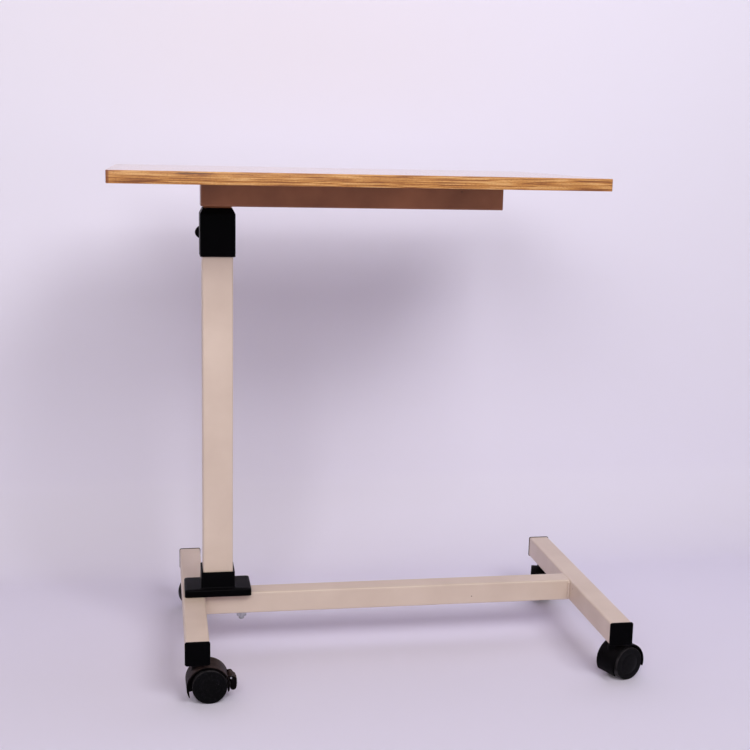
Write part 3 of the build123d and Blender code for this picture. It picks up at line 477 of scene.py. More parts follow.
def round_the_axis(tree, shape, count, first, step):
    """Copies a shape round Z, starting at an angle and going on by a step."""
    points = add(tree, "GeometryNodePoints", inputs={"Count": count})
    index = add(tree, "GeometryNodeInputIndex")
    angle = add(tree, MATH, SUM, {0: first, 1: add(tree, MATH, TIMES, {0: index, 1: step})})
    turn = add(tree, XYZ, inputs={"Z": angle})
    inputs = {"Points": points, "Instance": shape, "Rotation": turn}
    return add(tree, INSTANCES, inputs=inputs)


def spoke_tree(material):
    """Ribs in the hollow back of a wheel, from its hub to its rim, with the axle on Z."""
    sizes = {"Count": 8, "Hub radius": 0.006, "Rim radius": 0.019, "Thickness": 0.0014, "Depth": 0.006}
    tree, given, end = node_tree("wheel_spokes", sizes)
    reach = add(tree, MATH, LESS, {0: given["Rim radius"], 1: given["Hub radius"]})
    size = add(tree, XYZ, inputs={"X": reach, "Y": given["Thickness"], "Z": given["Depth"]})
    rib = add(tree, CUBE, inputs={"Size": size})
    both = add(tree, MATH, SUM, {0: given["Rim radius"], 1: given["Hub radius"]})
    middle = add(tree, MATH, TIMES, {0: both, 1: 0.5})
    half_deep = add(tree, MATH, TIMES, {0: given["Depth"], 1: 0.5})
    place = add(tree, XYZ, inputs={"X": middle, "Z": half_deep})
    rib = add(tree, TRANSFORM, inputs={"Geometry": rib, "Translation": place})
    step = add(tree, MATH, OVER, {0: 2 * math.pi, 1: given["Count"]})
    finish_tree(tree, end, round_the_axis(tree, rib, given["Count"], 0.0, step), material)
    return tree


def grip_tree(material):
    """Rounded grip ribs across a curved tread, with the curve's centre on Z."""
    sizes = {"Count": 5, "Curve radius": 0.033, "Rib radius": 0.0006, "Length": 0.014}
    sizes.update({"First angle": 0.0, "Step angle": 0.1})
    tree, given, end = node_tree("pedal_grip_ribs", sizes)
    bar = {"Vertices": 10, "Radius": given["Rib radius"], "Depth": given["Length"]}
    rib = add(tree, CYLINDER, inputs=bar)
    place = add(tree, XYZ, inputs={"X": given["Curve radius"]})
    rib = add(tree, TRANSFORM, inputs={"Geometry": rib, "Translation": place})
    ring = round_the_axis(tree, rib, given["Count"], given["First angle"], given["Step angle"])
    finish_tree(tree, end, ring, material)
    return tree


def screw_tree(material):
    """Pan-head screws with a cross recess, heads down, in a grid of columns and rows."""
    sizes = {"Columns": 3, "Rows": 2, "Span X": 0.34, "Span Y": 0.06, "Head diameter": 0.008}
    sizes.update({"Head height": 0.0024, "Shank diameter": 0.004, "Shank length": 0.012})
    tree, given, end = node_tree("pan_head_screws", sizes)
    radius = add(tree, MATH, TIMES, {0: given["Head diameter"], 1: 0.5})
    twice = add(tree, MATH, TIMES, {0: given["Head height"], 1: 2.0})
    disc = add(tree, CYLINDER, inputs={"Vertices": 40, "Radius": radius, "Depth": twice})
    ball = add(tree, "GeometryNodeMeshUVSphere", inputs={"Segments": 40, "Rings": 24, "Radius": 1.0})
    wide = add(tree, MATH, TIMES, {0: radius, 1: 1.13})
    squash = add(tree, XYZ, inputs={"X": wide, "Y": wide, "Z": given["Head height"]})
    dome = add(tree, TRANSFORM, inputs={"Geometry": ball, "Scale": squash})
    head = add(tree, BOOLEAN, {"operation": "INTERSECT"})
    tree.links.new(disc.outputs[0], head.inputs["Mesh 2"])
    tree.links.new(dome.outputs[0], head.inputs["Mesh 2"])
    # the upper half of the dome goes, and then a cross from below
    half = add(tree, CUBE, inputs={"Size": (0.02, 0.02, 0.02)})
    half = add(tree, TRANSFORM, inputs={"Geometry": half, "Translation": (0, 0, 0.01)})
    cut = add(tree, BOOLEAN, {"operation": "DIFFERENCE"}, {"Mesh 1": head})
    tree.links.new(half.outputs[0], cut.inputs["Mesh 2"])
    long = add(tree, MATH, TIMES, {0: given["Head diameter"], 1: 0.56})
    slim = add(tree, MATH, TIMES, {0: given["Head diameter"], 1: 0.13})
    down = add(tree, XYZ, inputs={"Z": add(tree, MATH, TIMES, {0: given["Head height"], 1: -1.0})})
    for size_x, size_y in ((long, slim), (slim, long)):
        size = add(tree, XYZ, inputs={"X": size_x, "Y": size_y, "Z": given["Head height"]})
        slot = add(tree, CUBE, inputs={"Size": size})
        slot = add(tree, TRANSFORM, inputs={"Geometry": slot, "Translation": down})
        tree.links.new(slot.outputs[0], cut.inputs["Mesh 2"])
    thin = add(tree, MATH, TIMES, {0: given["Shank diameter"], 1: 0.5})
    shank = add(tree, CYLINDER, inputs={"Vertices": 20, "Radius": thin, "Depth": given["Shank length"]})
    lift = add(tree, XYZ, inputs={"Z": add(tree, MATH, TIMES, {0: given["Shank length"], 1: 0.5})})
    shank = add(tree, TRANSFORM, inputs={"Geometry": shank, "Translation": lift})
    screw = add(tree, "GeometryNodeJoinGeometry")
    tree.links.new(cut.outputs["Mesh"], screw.inputs[0])
    tree.links.new(shank.outputs[0], screw.inputs[0])
    spread = {"Size X": given["Span X"], "Size Y": given["Span Y"]}
    spread.update({"Vertices X": given["Columns"], "Vertices Y": given["Rows"]})
    grid = add(tree, "GeometryNodeMeshGrid", inputs=spread)
    copies = add(tree, INSTANCES, inputs={"Points": grid, "Instance": screw, "Rotation": (0, 0, 0.4)})
    finish_tree(tree, end, copies, material)
    return tree


def thread_tree(material):
    """The ridge of a screw thread, winding up Z from nought."""
    tree, given, end = node_tree("bolt_thread", {"Core radius": 0.0035, "Pitch": 0.00125, "Turns": 6.0})
    coil = {"Resolution": 28, "Rotations": given["Turns"]}
    coil.update({"Start Radius": given["Core radius"], "End Radius": given["Core radius"]})
    coil["Height"] = add(tree, MATH, TIMES, {0: given["Turns"], 1: given["Pitch"]})
    winding = add(tree, "GeometryNodeCurveSpiral", inputs=coil)
    ridge_radius = add(tree, MATH, TIMES, {0: given["Pitch"], 1: 0.42})
    round_bar = {"Resolution": 4, "Radius": ridge_radius}
    ridge = add(tree, "GeometryNodeCurvePrimitiveCircle", {"mode": "RADIUS"}, round_bar)
    swept = {"Curve": winding, "Profile Curve": ridge, "Fill Caps": True}
    bead = add(tree, "GeometryNodeCurveToMesh", inputs=swept)
    finish_tree(tree, end, bead, material)
    return tree


def weld_tree(material):
    """A fillet weld up Z: a run of overlapping ripples."""
    sizes = {"Length": 0.025, "Pitch": 0.0014, "Bead radius": 0.0024, "Seed": 3}
    tree, given, end = node_tree("weld_ripples", sizes)
    count = add(tree, MATH, SUM, {0: add(tree, MATH, OVER, {0: given["Length"], 1: given["Pitch"]}), 1: 1.0})
    step = add(tree, XYZ, inputs={"Z": given["Pitch"]})
    line = add(tree, "GeometryNodeMeshLine", {"mode": "OFFSET"}, {"Count": count, "Offset": step})
    globe = {"Segments": 18, "Rings": 10, "Radius": given["Bead radius"]}
    ball = add(tree, "GeometryNodeMeshUVSphere", inputs=globe)
    vector = {"data_type": "FLOAT_VECTOR"}
    sizes = {0: (0.9, 0.9, 0.55), 1: (1.08, 1.08, 0.75), "Seed": given["Seed"]}
    uneven = add(tree, "FunctionNodeRandomValue", vector, sizes)
    angles = {0: (0.15, 0.15, 0.0), 1: (0.35, 0.35, 0.0), "Seed": given["Seed"]}
    tilt = add(tree, "FunctionNodeRandomValue", vector, angles)
    laid = {"Points": line, "Instance": ball, "Scale": uneven, "Rotation": tilt}
    ripples = add(tree, INSTANCES, inputs=laid)
    finish_tree(tree, end, ripples, material)
    return tree


# ---------------- table top


TOP_CORNER = 3.0
ARRIS = 0.7
BAND_THICKNESS = 1.0


def edge_band():
    """Band round the top with soft arrises; its UV runs along the edge from the front left corner."""
    low, high = corners("edge_band")
    middle = (low + high) / 2
    half_x, half_y = (high - low).x / 2, (high - low).y / 2
    curve = [math.radians(a) for a in (0, 22.5, 45, 67.5, 90)]
    section = [(BAND_THICKNESS, low.z)]
    section += [(ARRIS - ARRIS * math.sin(a), low.z + ARRIS - ARRIS * math.cos(a)) for a in curve]
    section += [(ARRIS - ARRIS * math.cos(a), high.z - ARRIS + ARRIS * math.sin(a)) for a in curve]
    section += [(BAND_THICKNESS, high.z)]
    build = bmesh.new()
    map_layer = build.loops.layers.uv.new("band")
    steps = 6
    rows = []
    for inset, z in section:
        loop = outline(half_x - inset, half_y - inset, TOP_CORNER - inset, z, steps)
        shift = Vector((middle.x, middle.y, 0))
        rows.append([build.verts.new((Vector(point) + shift) * MM) for point in loop])
    outer = outline(half_x, half_y, TOP_CORNER, low.z, steps)
    lengths = [0.0]
    for first, second in zip(outer, outer[1:] + outer[:1]):
        lengths.append(lengths[-1] + math.dist(first, second))
    heights = [0.0]
    for first, second in zip(section, section[1:]):
        heights.append(heights[-1] + math.dist(first, second))
    heights.append(heights[-1] + high.z - low.z)
    start = lengths[steps]
    count = len(rows[0])
    for k, (below, above) in enumerate(zip(rows, rows[1:] + rows[:1])):
        for i in range(count):
            j = (i + 1) % count
            face = build.faces.new((below[i], below[j], above[j], above[i]))
            places = ((i, k), (i + 1, k), (i + 1, k + 1), (i, k + 1))
            for corner, (along, up) in zip(face.loops, places):
                corner[map_layer].uv = ((lengths[along] - start) * MM, heights[up] * MM)
    bmesh.ops.recalc_face_normals(build, faces=build.faces)
    place_piece(plain_mesh(build, "edge_band"), "edge_band_rounded", "edge_band", smooth=50)


def fixing_screws():
    """Six pan-head screws through the rail's flanges."""
    low, high = corners("tabletop_screws")
    head, tall, shank = 8.0, 2.4, 4.0
    sizes = {
        "Span X": (high.x - low.x - head) * MM,
        "Span Y": (high.y - low.y - head) * MM,
        "Head diameter": head * MM,
        "Head height": tall * MM,
        "Shank diameter": shank * MM,
        "Shank length": (high.z - low.z - tall) * MM,
    }
    mesh = grow(screw_tree(FINISHES["zinc_steel"]), "pan_screws", sizes)
    mesh.transform(moved((low.x + high.x) / 2, (low.y + high.y) / 2, low.z + tall))
    place_piece(mesh, "pan_head_screws", "tabletop_screws", smooth=28)


# ---------------- base frame


def end_caps():
    """Moulded caps with a crowned face and a soft rim over each end of both feet."""
    for side in ("left", "right"):
        for end, sign in (("front", -1), ("rear", 1)):
            node = f"{side}_{end}_end_cap"
            low, high = corners(node)
            face = low.y if sign < 0 else high.y
            half = (high.x - low.x) / 2
            deep = high.y - low.y
            plug = half - 2.35
            loops = [square(plug - 1.0, 1.0, -deep), square(plug, 1.2, 3.0 - deep), square(plug, 1.2, -2.0)]
            crown = ((0.0, 2.9, 2.0), (0.0, 2.9, 1.1), (0.12, 2.8, 0.65), (0.5, 2.5, 0.28))
            crown += ((1.1, 2.2, 0.12), (5.0, 3.0, 0.0), (12.0, 2.0, 0.0))
            loops += [square(half - inset, radius, -down) for inset, radius, down in crown]
            turn = turned(-90 * sign, "X")
            build = bmesh.new()
            skin(build, loops, moved((low.x + high.x) / 2, face, (low.z + high.z) / 2) @ turn)
            place_piece(mesh_from(build, node + "_mesh"), node + "_crowned", node)


def welds():
    """Rippled fillet welds up both sides of the crossbar at each foot."""
    low, high = corners("crossbar_welds")
    tree = weld_tree(FINISHES["frame_paint"])
    build = bmesh.new()
    seed = 1
    for x, inward in ((low.x, 1), (high.x, -1)):
        for y in (low.y, high.y):
            mesh = grow(tree, "ripples", {"Length": (high.z - low.z - 2.0) * MM, "Seed": seed})
            shift = 3.0 if y < 0 else -3.0
            fold_mesh(build, mesh, moved(x + inward * 0.6, y + shift * 0.85, low.z + 1.0))
            seed += 1
    place_piece(mesh_from(build, "weld_beads"), "crossbar_weld_ripples", "crossbar_welds", smooth=60)


# ---------------- foot and head of the column


def socket_cover():
    """Moulded cover: crowned flange with a soft edge, fillet up to the collar, open underneath."""
    low, high = corners("socket_cover")
    middle = (low + high) / 2
    long, wide = (high.x - low.x) / 2, (high.y - low.y) / 2
    rise, collar, bore = 22.5, 22.7, 20.3
    top = high.z - rise
    loops = []
    for inset, z in ((0.0, low.z), (0.0, top - 2.6), (0.25, top - 1.6), (0.9, top - 0.85), (2.0, top - 0.45)):
        loops.append(outline(long - inset, wide - inset, 4.0 - inset / 2, z))
    loops.append(outline(long - 6.0, wide - 3.2, 3.5, top - 0.15))
    for out, z in ((2.0, top), (1.0, top + 0.25), (0.3, top + 0.95), (0.0, top + 2.0)):
        loops.append(square(collar + out, 2.5 + out, z))
    for inset, z in ((0.0, high.z - 0.8), (0.25, high.z - 0.25), (0.8, high.z)):
        loops.append(square(collar - inset, 2.5 - inset / 2, z))
    for inset, z in ((0.5, high.z), (0.0, high.z - 0.5), (0.0, top - 2.2)):
        loops.append(square(bore + inset, 2.5, z))
    for z in (top - 2.2, low.z):
        loops.append(outline(long - 1.7, wide - 1.7, 2.3, z))
    build = bmesh.new()
    skin(build, loops, moved(middle.x, middle.y, 0), ring=True)
    place_piece(mesh_from(build, "cover"), "column_socket_cover", "socket_cover", smooth=40)


def column_head():
    """Moulded head: sloped shoulders, a lip round its foot and the boss of the lock behind."""
    low, high = corners("column_head")
    column = corners("outer_column_tube")
    centre = (column[0] + column[1]) / 2
    half = (high.x - low.x) / 2
    loops = []
    lip = ((0.9, 0.0), (0.3, 0.3), (0.0, 0.9), (0.0, 2.2), (0.35, 2.6), (0.35, 3.1), (0.1, 3.5))
    rings = [(half - inset, low.z + up) for inset, up in lip]
    crown = ((0.05, 8.3), (0.2, 7.3), (3.6, 0.9), (4.1, 0.25), (4.9, 0.0))
    rings += [(half - inset, high.z - down) for inset, down in crown]
    loops += [square(size, 2.5, z) for size, z in rings]
    mouth, bore, roof, hole = 17.9, 20.1, 7.0, 7.2
    for out, down in ((0.5, 0.0), (0.0, 0.5), (0.0, roof)):
        loops.append(square(mouth + out, 2.0, high.z - down))
    for z in (high.z - roof, low.z):
        loops.append(square(bore, 2.5, z))
    block = bmesh.new()
    skin(block, loops, moved(centre.x, centre.y, 0), ring=True)
    lock = Vector(JOINTS["knob_turn"]["pos_m"]) / MM
    reach = high.y - centre.y
    boss = [(7.5, 21.0), (12.4, 22.6), (11.5, 23.4), (11.05, 25.0)]
    boss += [(11.0, reach - 1.0), (10.7, reach - 0.3), (10.0, reach), (7.5, reach)]
    place = moved(centre.x, centre.y, lock.z) @ turned(-90, "X")
    # the hole in the rear wall that the lock's screw and pad move in
    drill = bmesh.new()
    lathe(drill, [(hole, bore - 3.0), (hole, reach)], place, 56)
    build = bmesh.new()
    fold_mesh(build, cut_away(mesh_from(block, "block"), mesh_from(drill, "drill")), Matrix.Identity(4))
    lathe(build, boss, place, 56, ring=True)
    place_piece(mesh_from(build, "head"), "column_head_moulding", "column_head", smooth=40)


def star_radius(angle):
    """Outline of the knob: five round lobes on a core, eased into each other."""
    lobe = 2 * math.pi / 5
    core, lobe_height, easing = 19.0, 8.85, 0.05
    wave = math.cos(3 * min(angle % lobe, lobe - angle % lobe))
    return core + lobe_height * (wave + math.sqrt(wave * wave + easing)) / 2


def star_knob():
    """Star knob with rounded lobes, a dished face and a hub behind; its button stays a piece."""
    low, high = corners("lock_knob")
    lock = Vector(JOINTS["knob_turn"]["pos_m"]) / MM
    steps = 180
    angles = [2 * math.pi * i / steps for i in range(steps)]

    def ring(radius_at, height):
        return [(radius_at(a) * math.cos(a), radius_at(a) * math.sin(a), height) for a in angles]

    hub = ((4.2, 0), (9.4, 0), (10.0, 0.6), (10.0, 2.6), (10.6, 3.0))
    loops = [ring(lambda a: radius, z) for radius, z in hub]
    for inset, z in ((2.5, 3.0), (1.3, 3.3), (0.5, 4.0), (0.1, 4.9), (0.0, 6.0)):
        loops.append(ring(lambda a: star_radius(a) - inset, z))
    # the depths from here on were drawn for a knob 15 mm deep
    deep = (high.y - low.y) / 15.0
    for inset, z in ((0.0, 11.8), (0.15, 12.9), (0.6, 13.9), (1.4, 14.6), (2.6, 15.0)):
        loops.append(ring(lambda a: star_radius(a) - inset, z * deep))
    dish = ((13.5, 15.0), (12.6, 14.8), (11.6, 14.3), (9.2, 14.3), (8.6, 14.5), (8.02, 14.5), (8.02, 13.5))
    loops += [ring(lambda a: radius, z * deep) for radius, z in dish]
    build = bmesh.new()
    as_locked = turned(168, "Z")
    skin(build, loops, moved(lock.x, low.y, lock.z) @ turned(-90, "X") @ as_locked)
    place_piece(mesh_from(build, "star"), "star_knob_moulding", "lock_knob", smooth=38)


def column_fixings():
    """Cup-head bolts with rolled threads at their ends, and chamfered nuts."""
    low, high = corners("column_bolts")
    tree = thread_tree(FINISHES["zinc_steel"])
    head, tall, radius, pitch = 9.0, 3.2, 4.0, 1.25
    long = high.z - low.z - tall
    build = bmesh.new()
    for x in (low.x + head, high.x - head):
        profile = [(0.02, 0), (2.9, 0), (3.45, 0.7), (3.45, 20), (radius, 20.6), (radius, long)]
        profile += [(head - 0.3, long), (head, long + 0.4), (head - 0.9, long + 1.6), (6.0, long + 2.7)]
        profile.append((0.02, high.z - low.z))
        place = moved(x, (low.y + high.y) / 2, low.z)
        lathe(build, profile, place, 40)
        ridge = grow(tree, "thread", {"Turns": 14.0, "Pitch": pitch * MM, "Core radius": 3.45 * MM})
        fold_mesh(build, ridge, place @ moved(0, 0, 1.0))
    place_piece(mesh_from(build, "bolts"), "cup_head_bolts", "column_bolts", smooth=40)

    low, high = corners("column_nuts")
    flat, tall = 13.0, high.z - low.z
    corner = flat / math.sqrt(3)
    build = bmesh.new()
    reach = corners("column_bolts")
    for x in (reach[0].x + head, reach[1].x - head):
        loops = []
        lower = [(4.6, 0.4), (5.9, 0.0), (corner, 0.85)]
        for radius, z in lower + [(radius, tall - z) for radius, z in lower[::-1]]:
            loop = []
            for i in range(36):
                angle = math.radians(10 * i)
                side = flat / 2 / math.cos((angle + math.pi / 6) % (math.pi / 3) - math.pi / 6)
                out = min(radius, side)
                loop.append((out * math.cos(angle), out * math.sin(angle), z))
            loops.append(loop)
        skin(build, loops, moved(x, (low.y + high.y) / 2, low.z), ring=True)
    place_piece(mesh_from(build, "nuts"), "hexagon_nuts", "column_nuts", smooth=25)


# ---------------- casters
# A caster's frame: swivel axis on Z from the floor, trail along X, axle along Y, in mm.


HOOD_SETBACK, HOOD_RISE = 1.9, 0.5
HOOD_INNER, HOOD_OUTER, HOOD_HALF = 24.9, 27.1, 17.0
HOOD_START, HOOD_END = -16.0, 208.0
# the brake's opening in the hood: from and to these angles, and half its width
WINDOW = (3.0, 22.5, 8.8)
WEB_HALF = 5.5
WEB_FRONT, WEB_REAR = 72.0, 203.0
PIVOT_ANGLE, PIVOT_RADIUS = 16.0, 30.0


class Caster:
    """Where a caster stands, read from its swivel and wheel joints."""

    def __init__(self, name):
        stem = Vector(JOINTS[name + "_swivel_turn"]["pos_m"]) / MM
        axle = Vector(JOINTS[name + "_wheel_a_spin"]["pos_m"]) / MM
        ahead = axle - stem
        ahead.z = 0
        self.name = name
        self.trail = ahead.length
        self.radius = axle.z
        ahead.normalize()
        side = Vector((0, 0, 1)).cross(ahead)
        self.place = Matrix((ahead, side, Vector((0, 0, 1)))).transposed().to_4x4()
        self.place.translation = Vector((stem.x, stem.y, 0)) * MM
        self.hood_x = self.trail - HOOD_SETBACK
        self.hood_z = self.radius + HOOD_RISE
        self.braked = name in BRAKED

    def polar(self, radius, angle):
        """Point in the wheel's plane about the hood's centre."""
        turn = math.radians(angle)
        return (self.hood_x + radius * math.cos(turn), self.hood_z + radius * math.sin(turn))


def hood_shell(build, caster):
    """Curved hood of even wall, its rims rounded, thinning to its tails, open over the brake."""
    angles = [HOOD_START + (HOOD_END - HOOD_START) * i / 56 for i in range(57)]
    angles = sorted(a for a in angles if min(abs(a - w) for w in WINDOW[:2]) > 1.0)
    angles = sorted(angles + list(WINDOW[:2]))
    rim = [(0.0, 0.95, 0.6), (0.2, 0.5, 0.25), (0.55, 0.15, 0.05), (1.1, 0.0, 0.0), (2.6, 0.0, 0.0)]
    across = [(HOOD_HALF - d, out, into) for d, out, into in rim]
    across += [(WINDOW[2], 0.0, 0.0), (4.0, 0.0, 0.0)]
    across = [(-y, out, into) for y, out, into in across] + across[::-1]
    outer, inner = [], []
    for angle in angles:
        tail = max(0.0, 1 - (HOOD_END - angle) / 14.0)
        toe = max(0.0, 1 - (angle - HOOD_START) / 5.0)
        rows = ([], [])
        for y, out, into in across:
            high = HOOD_OUTER - out - 0.2 * tail**2 - 0.5 * toe**2
            low = HOOD_INNER + into + 1.1 * tail + 0.5 * toe**2
            for row, radius in zip(rows, (high, min(low, high - 0.3))):
                x, z = caster.polar(radius, angle)
                row.append(build.verts.new(caster.place @ (Vector((x, y, z)) * MM)))
        outer.append(rows[0])
        inner.append(rows[1])

    def solid(i, j):
        if not (0 <= i < len(angles) - 1 and 0 <= j < len(across) - 1):
            return False
        middle = (angles[i] + angles[i + 1]) / 2
        opened = WINDOW[0] < middle < WINDOW[1] and abs(across[j][0] + across[j + 1][0]) / 2 < WINDOW[2]
        return not (caster.braked and opened)

    for i in range(len(angles) - 1):
        for j in range(len(across) - 1):
            if not solid(i, j):
                continue
            build.faces.new((outer[i][j], outer[i + 1][j], outer[i + 1][j + 1], outer[i][j + 1]))
            build.faces.new((inner[i][j], inner[i][j + 1], inner[i + 1][j + 1], inner[i + 1][j]))
            sides = (
                ((i, j - 1), (i, j), (i + 1, j)),
                ((i, j + 1), (i + 1, j + 1), (i, j + 1)),
                ((i - 1, j), (i, j + 1), (i, j)),
                ((i + 1, j), (i + 1, j), (i + 1, j + 1)),
            )
            for cell, (a, b), (c, d) in sides:
                if not solid(*cell):
                    build.faces.new((outer[a][b], outer[c][d], inner[c][d], inner[a][b]))


def swivel_boss(build, caster):
    """Boss round the swivel pin, flared where it meets the crown of the hood."""
    top = corners(caster.name + "_caster_housing")[1].z
    steps, reach = 40, HOOD_OUTER - 1.1

    def on_hood(radius, lift):
        rise = caster.hood_z + lift
        flat = circle(radius, 0, steps)
        return [(x, y, rise + math.sqrt(reach**2 - (x - caster.hood_x) ** 2)) for x, y, _ in flat]

    loops = [on_hood(3.6, 0), on_hood(9.2, 0.2), on_hood(8.3, 1.5), on_hood(7.4, 2.3)]
    for radius, down in ((7.0, 0.9), (6.7, 0.25), (6.1, 0), (3.6, 0)):
        loops.append(circle(radius, top - down, steps))
    skin(build, loops, caster.place, ring=True)


def housing(caster):
    """Hood, middle web with its hub, swivel boss, and ears for the pedal where there is one."""
    build = bmesh.new()
    hood_shell(build, caster)
    reach = HOOD_INNER + 1.1
    web = [caster.polar(reach, WEB_FRONT + (WEB_REAR - WEB_FRONT) * i / 16) for i in range(17)]
    web += [(caster.trail - 6.0, caster.radius - 2.0), (caster.trail + 6.0, caster.radius)]
    prism(build, web, WEB_HALF, caster.place, 0.7)
    axle = caster.place @ moved(caster.trail, 0, caster.radius) @ turned(-90, "X")
    hub = [(2.55, WEB_HALF), (6.4, WEB_HALF), (7.0, WEB_HALF - 0.6)]
    lathe(build, [(radius, -y) for radius, y in hub] + hub[::-1], axle, 36, ring=True)
    swivel_boss(build, caster)
    if caster.braked:
        pivot_x, pivot_z = caster.polar(PIVOT_RADIUS, PIVOT_ANGLE)
        ear = [caster.polar(HOOD_OUTER - 1.1, PIVOT_ANGLE + side * 9.0) for side in (1, -1)]
        ear += arc(pivot_x, pivot_z, 3.2, [PIVOT_ANGLE + a for a in range(-75, 76, 15)])
        for side in (-1, 1):
            prism(build, ear, 1.0, caster.place @ moved(0, side * 9.8, 0), 0.35)
    finish = FINISHES["caster_plastic"] if caster.braked else CLEAN_NYLON
    name = caster.name + "_caster_housing"
    place_piece(mesh_from(build, name + "_mesh"), caster.name + "_hood", name, smooth=32, finish=finish)


def wheels(caster, spokes):
    """Both wheels: crowned ringed face, shouldered tread, and a ribbed hollow towards the web."""
    inner, outer = 5.8, 16.8
    rim, hub, r = caster.radius - 3.0, 6.0, caster.radius
    profile = [(2.55, inner), (hub - 0.4, inner), (hub, inner + 0.4)]
    profile += [(hub + 0.5, outer - 3.4), (hub + 1.0, outer - 3.0)]
    profile += [(rim - 0.8, outer - 3.0), (rim - 0.3, outer - 3.4), (rim, inner + 0.5), (rim + 0.5, inner)]
    profile += [(r - 0.6, inner), (r - 0.15, inner + 0.25), (r, inner + 1.0), (r, inner + 5.2)]
    profile += [(r - 0.12, inner + 5.4), (r, inner + 5.6), (r, outer - 1.6)]
    profile += [(r - 0.2, outer - 1.1), (r - 0.8, outer - 0.8)]
    # a fine groove round the face
    profile += [(r - 1.5, outer - 0.72), (13.9, outer - 0.42), (13.6, outer - 0.5), (13.3, outer - 0.42)]
    profile += [(12.9, outer - 0.24), (6.0, outer - 0.06), (0.02, outer)]
    profile += [(0.02, outer - 2.0), (2.55, outer - 2.0)]
    for name, side in (("a", -1), ("b", 1)):
        node = f"{caster.name}_wheel_{name}"
        build = bmesh.new()
        axle = moved(caster.trail, 0, caster.radius) @ turned(-90 * side, "X")
        lathe(build, profile, caster.place @ axle, 72, ring=True)
        sizes = {"Hub radius": (hub - 0.5) * MM, "Rim radius": (rim + 0.4) * MM, "Depth": 6.5 * MM}
        ribs = grow(spokes, "ribs", sizes)
        fold_mesh(build, ribs, caster.place @ axle @ moved(0, 0, outer - 9.0))
        mesh = mesh_from(build, node + "_mesh")
        centre = caster.place @ (Vector((caster.trail, 0, caster.radius)) * MM)
        spin = caster.place.to_3x3() @ Vector((0, 1, 0))
        tread = mesh.attributes.new("tread", "FLOAT", "POINT")
        for vertex, value in zip(mesh.vertices, tread.data):
            arm = vertex.co - centre
            value.value = 1.0 if (arm - arm.dot(spin) * spin).length > (r - 0.7) * MM else 0.0
        place_piece(mesh, node + "_detailed", node, smooth=30)


def pedal(caster, ribs):
    """Brake pedal: curved lever with a rounded tip and grip ribs, and its shoe."""
    inner, outer, tip, shoulder = HOOD_OUTER + 1.1, HOOD_OUTER + 9.1, -9.0, 8.5
    middle, round_end = (inner + outer) / 2, (outer - inner) / 2
    pivot_x, pivot_z = caster.polar(PIVOT_RADIUS, PIVOT_ANGLE)
    build = bmesh.new()
    lever = []
    for (x, z), radius, about, turns in (
        ((pivot_x, pivot_z), 2.8, PIVOT_ANGLE, range(225, 20, -15)),
        (caster.polar(middle, shoulder), round_end, shoulder, range(80, -1, -16)),
        (caster.polar(middle, tip), round_end, tip, range(0, -181, -15)),
    ):
        lever += arc(x, z, radius, [about + a for a in turns])
    lever += [caster.polar(inner, a) for a in (-5.0, 0.0, 5.0, 9.5)]
    prism(build, lever, 8.5, caster.place, 0.7)
    toward = Vector((caster.trail - pivot_x, caster.radius - pivot_z))
    reach = toward.length - caster.radius - 0.6
    toward.normalize()
    across = Vector((-toward.y, toward.x)) * 1.5
    start = Vector((pivot_x, pivot_z))
    shoe = [start + across, start - across, start + toward * reach - across, start + toward * reach + across]
    prism(build, [tuple(point) for point in shoe], 8.2, caster.place, 0.3)
    sizes = {"Count": 5, "Curve radius": (outer - 0.1) * MM, "Rib radius": 0.65 * MM, "Length": 13.0 * MM}
    sizes.update({"First angle": math.radians(-7.0), "Step angle": math.radians(3.5)})
    turn = moved(caster.hood_x, 0, caster.hood_z) @ turned(90, "X")
    fold_mesh(build, grow(ribs, "grip", sizes), caster.place @ turn)
    node = caster.name + "_brake_pedal"
    place_piece(mesh_from(build, node + "_mesh"), node + "_ribbed", node, smooth=35)


def casters():
    """All four: hood and wheels, and a pedal where there is a brake."""
    spokes = spoke_tree(FINISHES["wheel_nylon"])
    ribs = grip_tree(FINISHES["caster_plastic"])
    for name in CASTERS:
        caster = Caster(name)
        housing(caster)
        wheels(caster, spokes)
        if caster.braked:
            pedal(caster, ribs)


# ---------------- camera, light and room


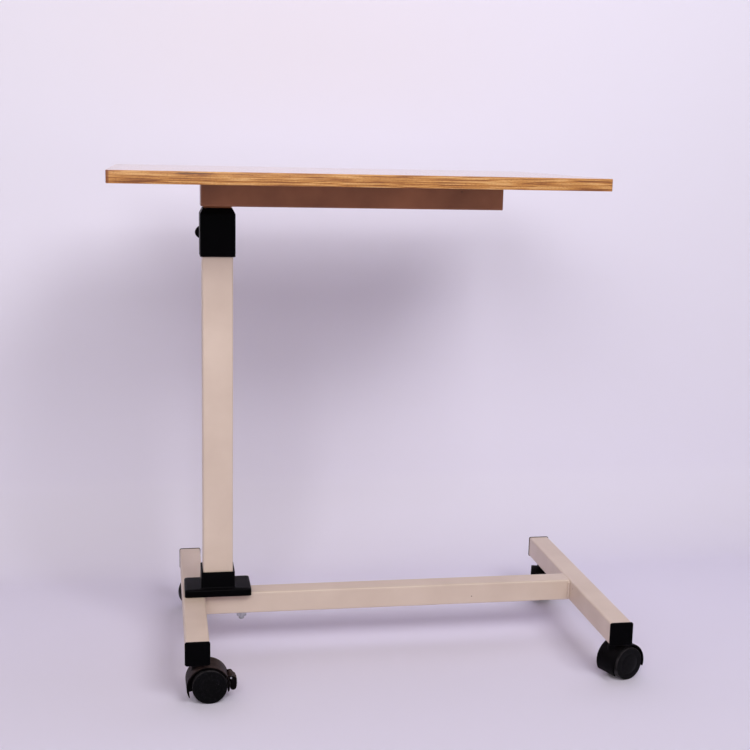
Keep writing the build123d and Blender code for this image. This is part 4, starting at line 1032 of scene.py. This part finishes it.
def studio():
    """Camera, and soft boxes: a large one upper right in front, weaker ones around."""
    position = Vector((-0.2886, -1.6482, 0.6906))
    yaw = math.radians(9.964)
    pitch = math.radians(10.336)
    roll = math.radians(-1.255)
    ahead = Vector((math.sin(yaw) * math.cos(pitch), math.cos(yaw) * math.cos(pitch), -math.sin(pitch)))
    level = Vector((math.cos(yaw), -math.sin(yaw), 0))
    below = ahead.cross(level)
    right = math.cos(roll) * level + math.sin(roll) * below
    up = right.cross(ahead)
    lens = bpy.data.cameras.new("camera")
    lens.lens = 59.74
    lens.sensor_width = 36.0
    camera = new_object("camera", lens)
    camera.matrix_world = Matrix((right, up, -ahead)).transposed().to_4x4()
    camera.matrix_world.translation = position
    bpy.context.scene.camera = camera
    bpy.context.scene.view_settings.view_transform = "Standard"

    world = bpy.data.worlds.new("room")
    bpy.context.scene.world = world
    world.use_nodes = True
    tree = world.node_tree
    glow = tree.nodes["Background"]
    glow.inputs["Color"].default_value = hex_colour("FFE7BC")
    glow.inputs["Strength"].default_value = 0.15
    # the camera, and what mirrors the room or lets it through, see pale paper in every direction
    path = add(tree, "ShaderNodeLightPath")
    glossy, through = path.outputs["Is Glossy Ray"], path.outputs["Is Transmission Ray"]
    mirrored = add(tree, MATH, MORE, {0: glossy, 1: through})
    seen = add(tree, MATH, MORE, {0: path.outputs["Is Camera Ray"], 1: mirrored})
    paper = add(tree, "ShaderNodeBackground", inputs={"Color": hex_colour("E9E4F4"), "Strength": 0.85})
    shown = add(tree, "ShaderNodeMixShader", inputs={0: seen, 1: glow, 2: paper})
    tree.links.new(shown.outputs[0], tree.nodes["World Output"].inputs["Surface"])

    aim = Vector((0.05, 0.42, 0.85))
    for name, place, size, power, text in (
        ("key_softbox", (0.85, -2.2, 2.3), (1.35, 1.1), 41.0, "FFFDFB"),
        ("left_softbox", (-0.6, -2.1, 1.55), (1.0, 0.8), 17.0, "FFFDFC"),
        ("side_softbox", (-1.7, -0.9, 1.3), (1.0, 1.0), 3.8, "FFFCE9"),
        ("top_softbox", (0.2, -0.2, 1.9), (0.8, 0.5), 3.0, "DBDFFF"),
    ):
        lamp = bpy.data.lights.new(name, "AREA")
        lamp.shape = "RECTANGLE"
        lamp.size, lamp.size_y = size
        lamp.energy = power
        lamp.color = hex_colour(text)[:3]
        box = new_object(name, lamp)
        box.location = place
        box.rotation_euler = (aim - Vector(place)).to_track_quat("-Z", "Y").to_euler()


def sweep():
    """Seamless paper: floor, a small cove and a wall close behind."""
    depth, cove, height, width = 0.42, 0.14, 3.2, 4.5
    line = [(-2.2, 0.0)]
    for i in range(13):
        angle = math.pi / 2 * i / 12
        line.append((depth - cove + cove * math.sin(angle), cove - cove * math.cos(angle)))
    line.append((depth, height))
    build = bmesh.new()
    rows = [[build.verts.new((side * width, y, z)) for side in (-1, 1)] for y, z in line]
    for low, high in zip(rows, rows[1:]):
        build.faces.new((low[0], low[1], high[1], high[0]))
    mesh = plain_mesh(build, "paper_sweep")
    mesh.shade_smooth()
    floor = new_object("paper_sweep", mesh)
    # uncoated background paper: matt; painted light and shade: the floor a little darker and the wall
    # lighter, blending over the first 0.12 m of height, standing in for how the lamps fall on them
    paper, tree, shader = new_material("lavender_paper", {"Roughness": 0.9, "Specular IOR Level": 0.2})
    height_of = add(tree, SPLIT, inputs={0: add(tree, COORDINATES).outputs["Object"]})
    # painted light: the paper's tone rises from the darker floor to the lighter wall
    wall_painted_lighter = add(tree, RANGE, inputs={0: height_of.outputs["Z"], 1: 0.0, 2: 0.12})
    tones = add(tree, RAMP, inputs={"Fac": wall_painted_lighter}, stops=[(0.0, "E4E0F4"), (1.0, "F1EEFF")])
    dress(tree, shader, tones.outputs["Color"])
    # clear from behind, so that the table can be looked at from every side
    behind = add(tree, "ShaderNodeNewGeometry").outputs["Backfacing"]
    clear = add(tree, "ShaderNodeBsdfTransparent")
    sided = add(tree, "ShaderNodeMixShader", inputs={0: behind, 1: shader, 2: clear})
    tree.links.new(sided.outputs[0], tree.nodes["Material Output"].inputs["Surface"])
    mesh.materials.append(paper)


studio()
sweep()
for node in NODES:
    paint_cad_node(node)
edge_band()
fixing_screws()
end_caps()
welds()
socket_cover()
column_head()
star_knob()
column_fixings()
casters()
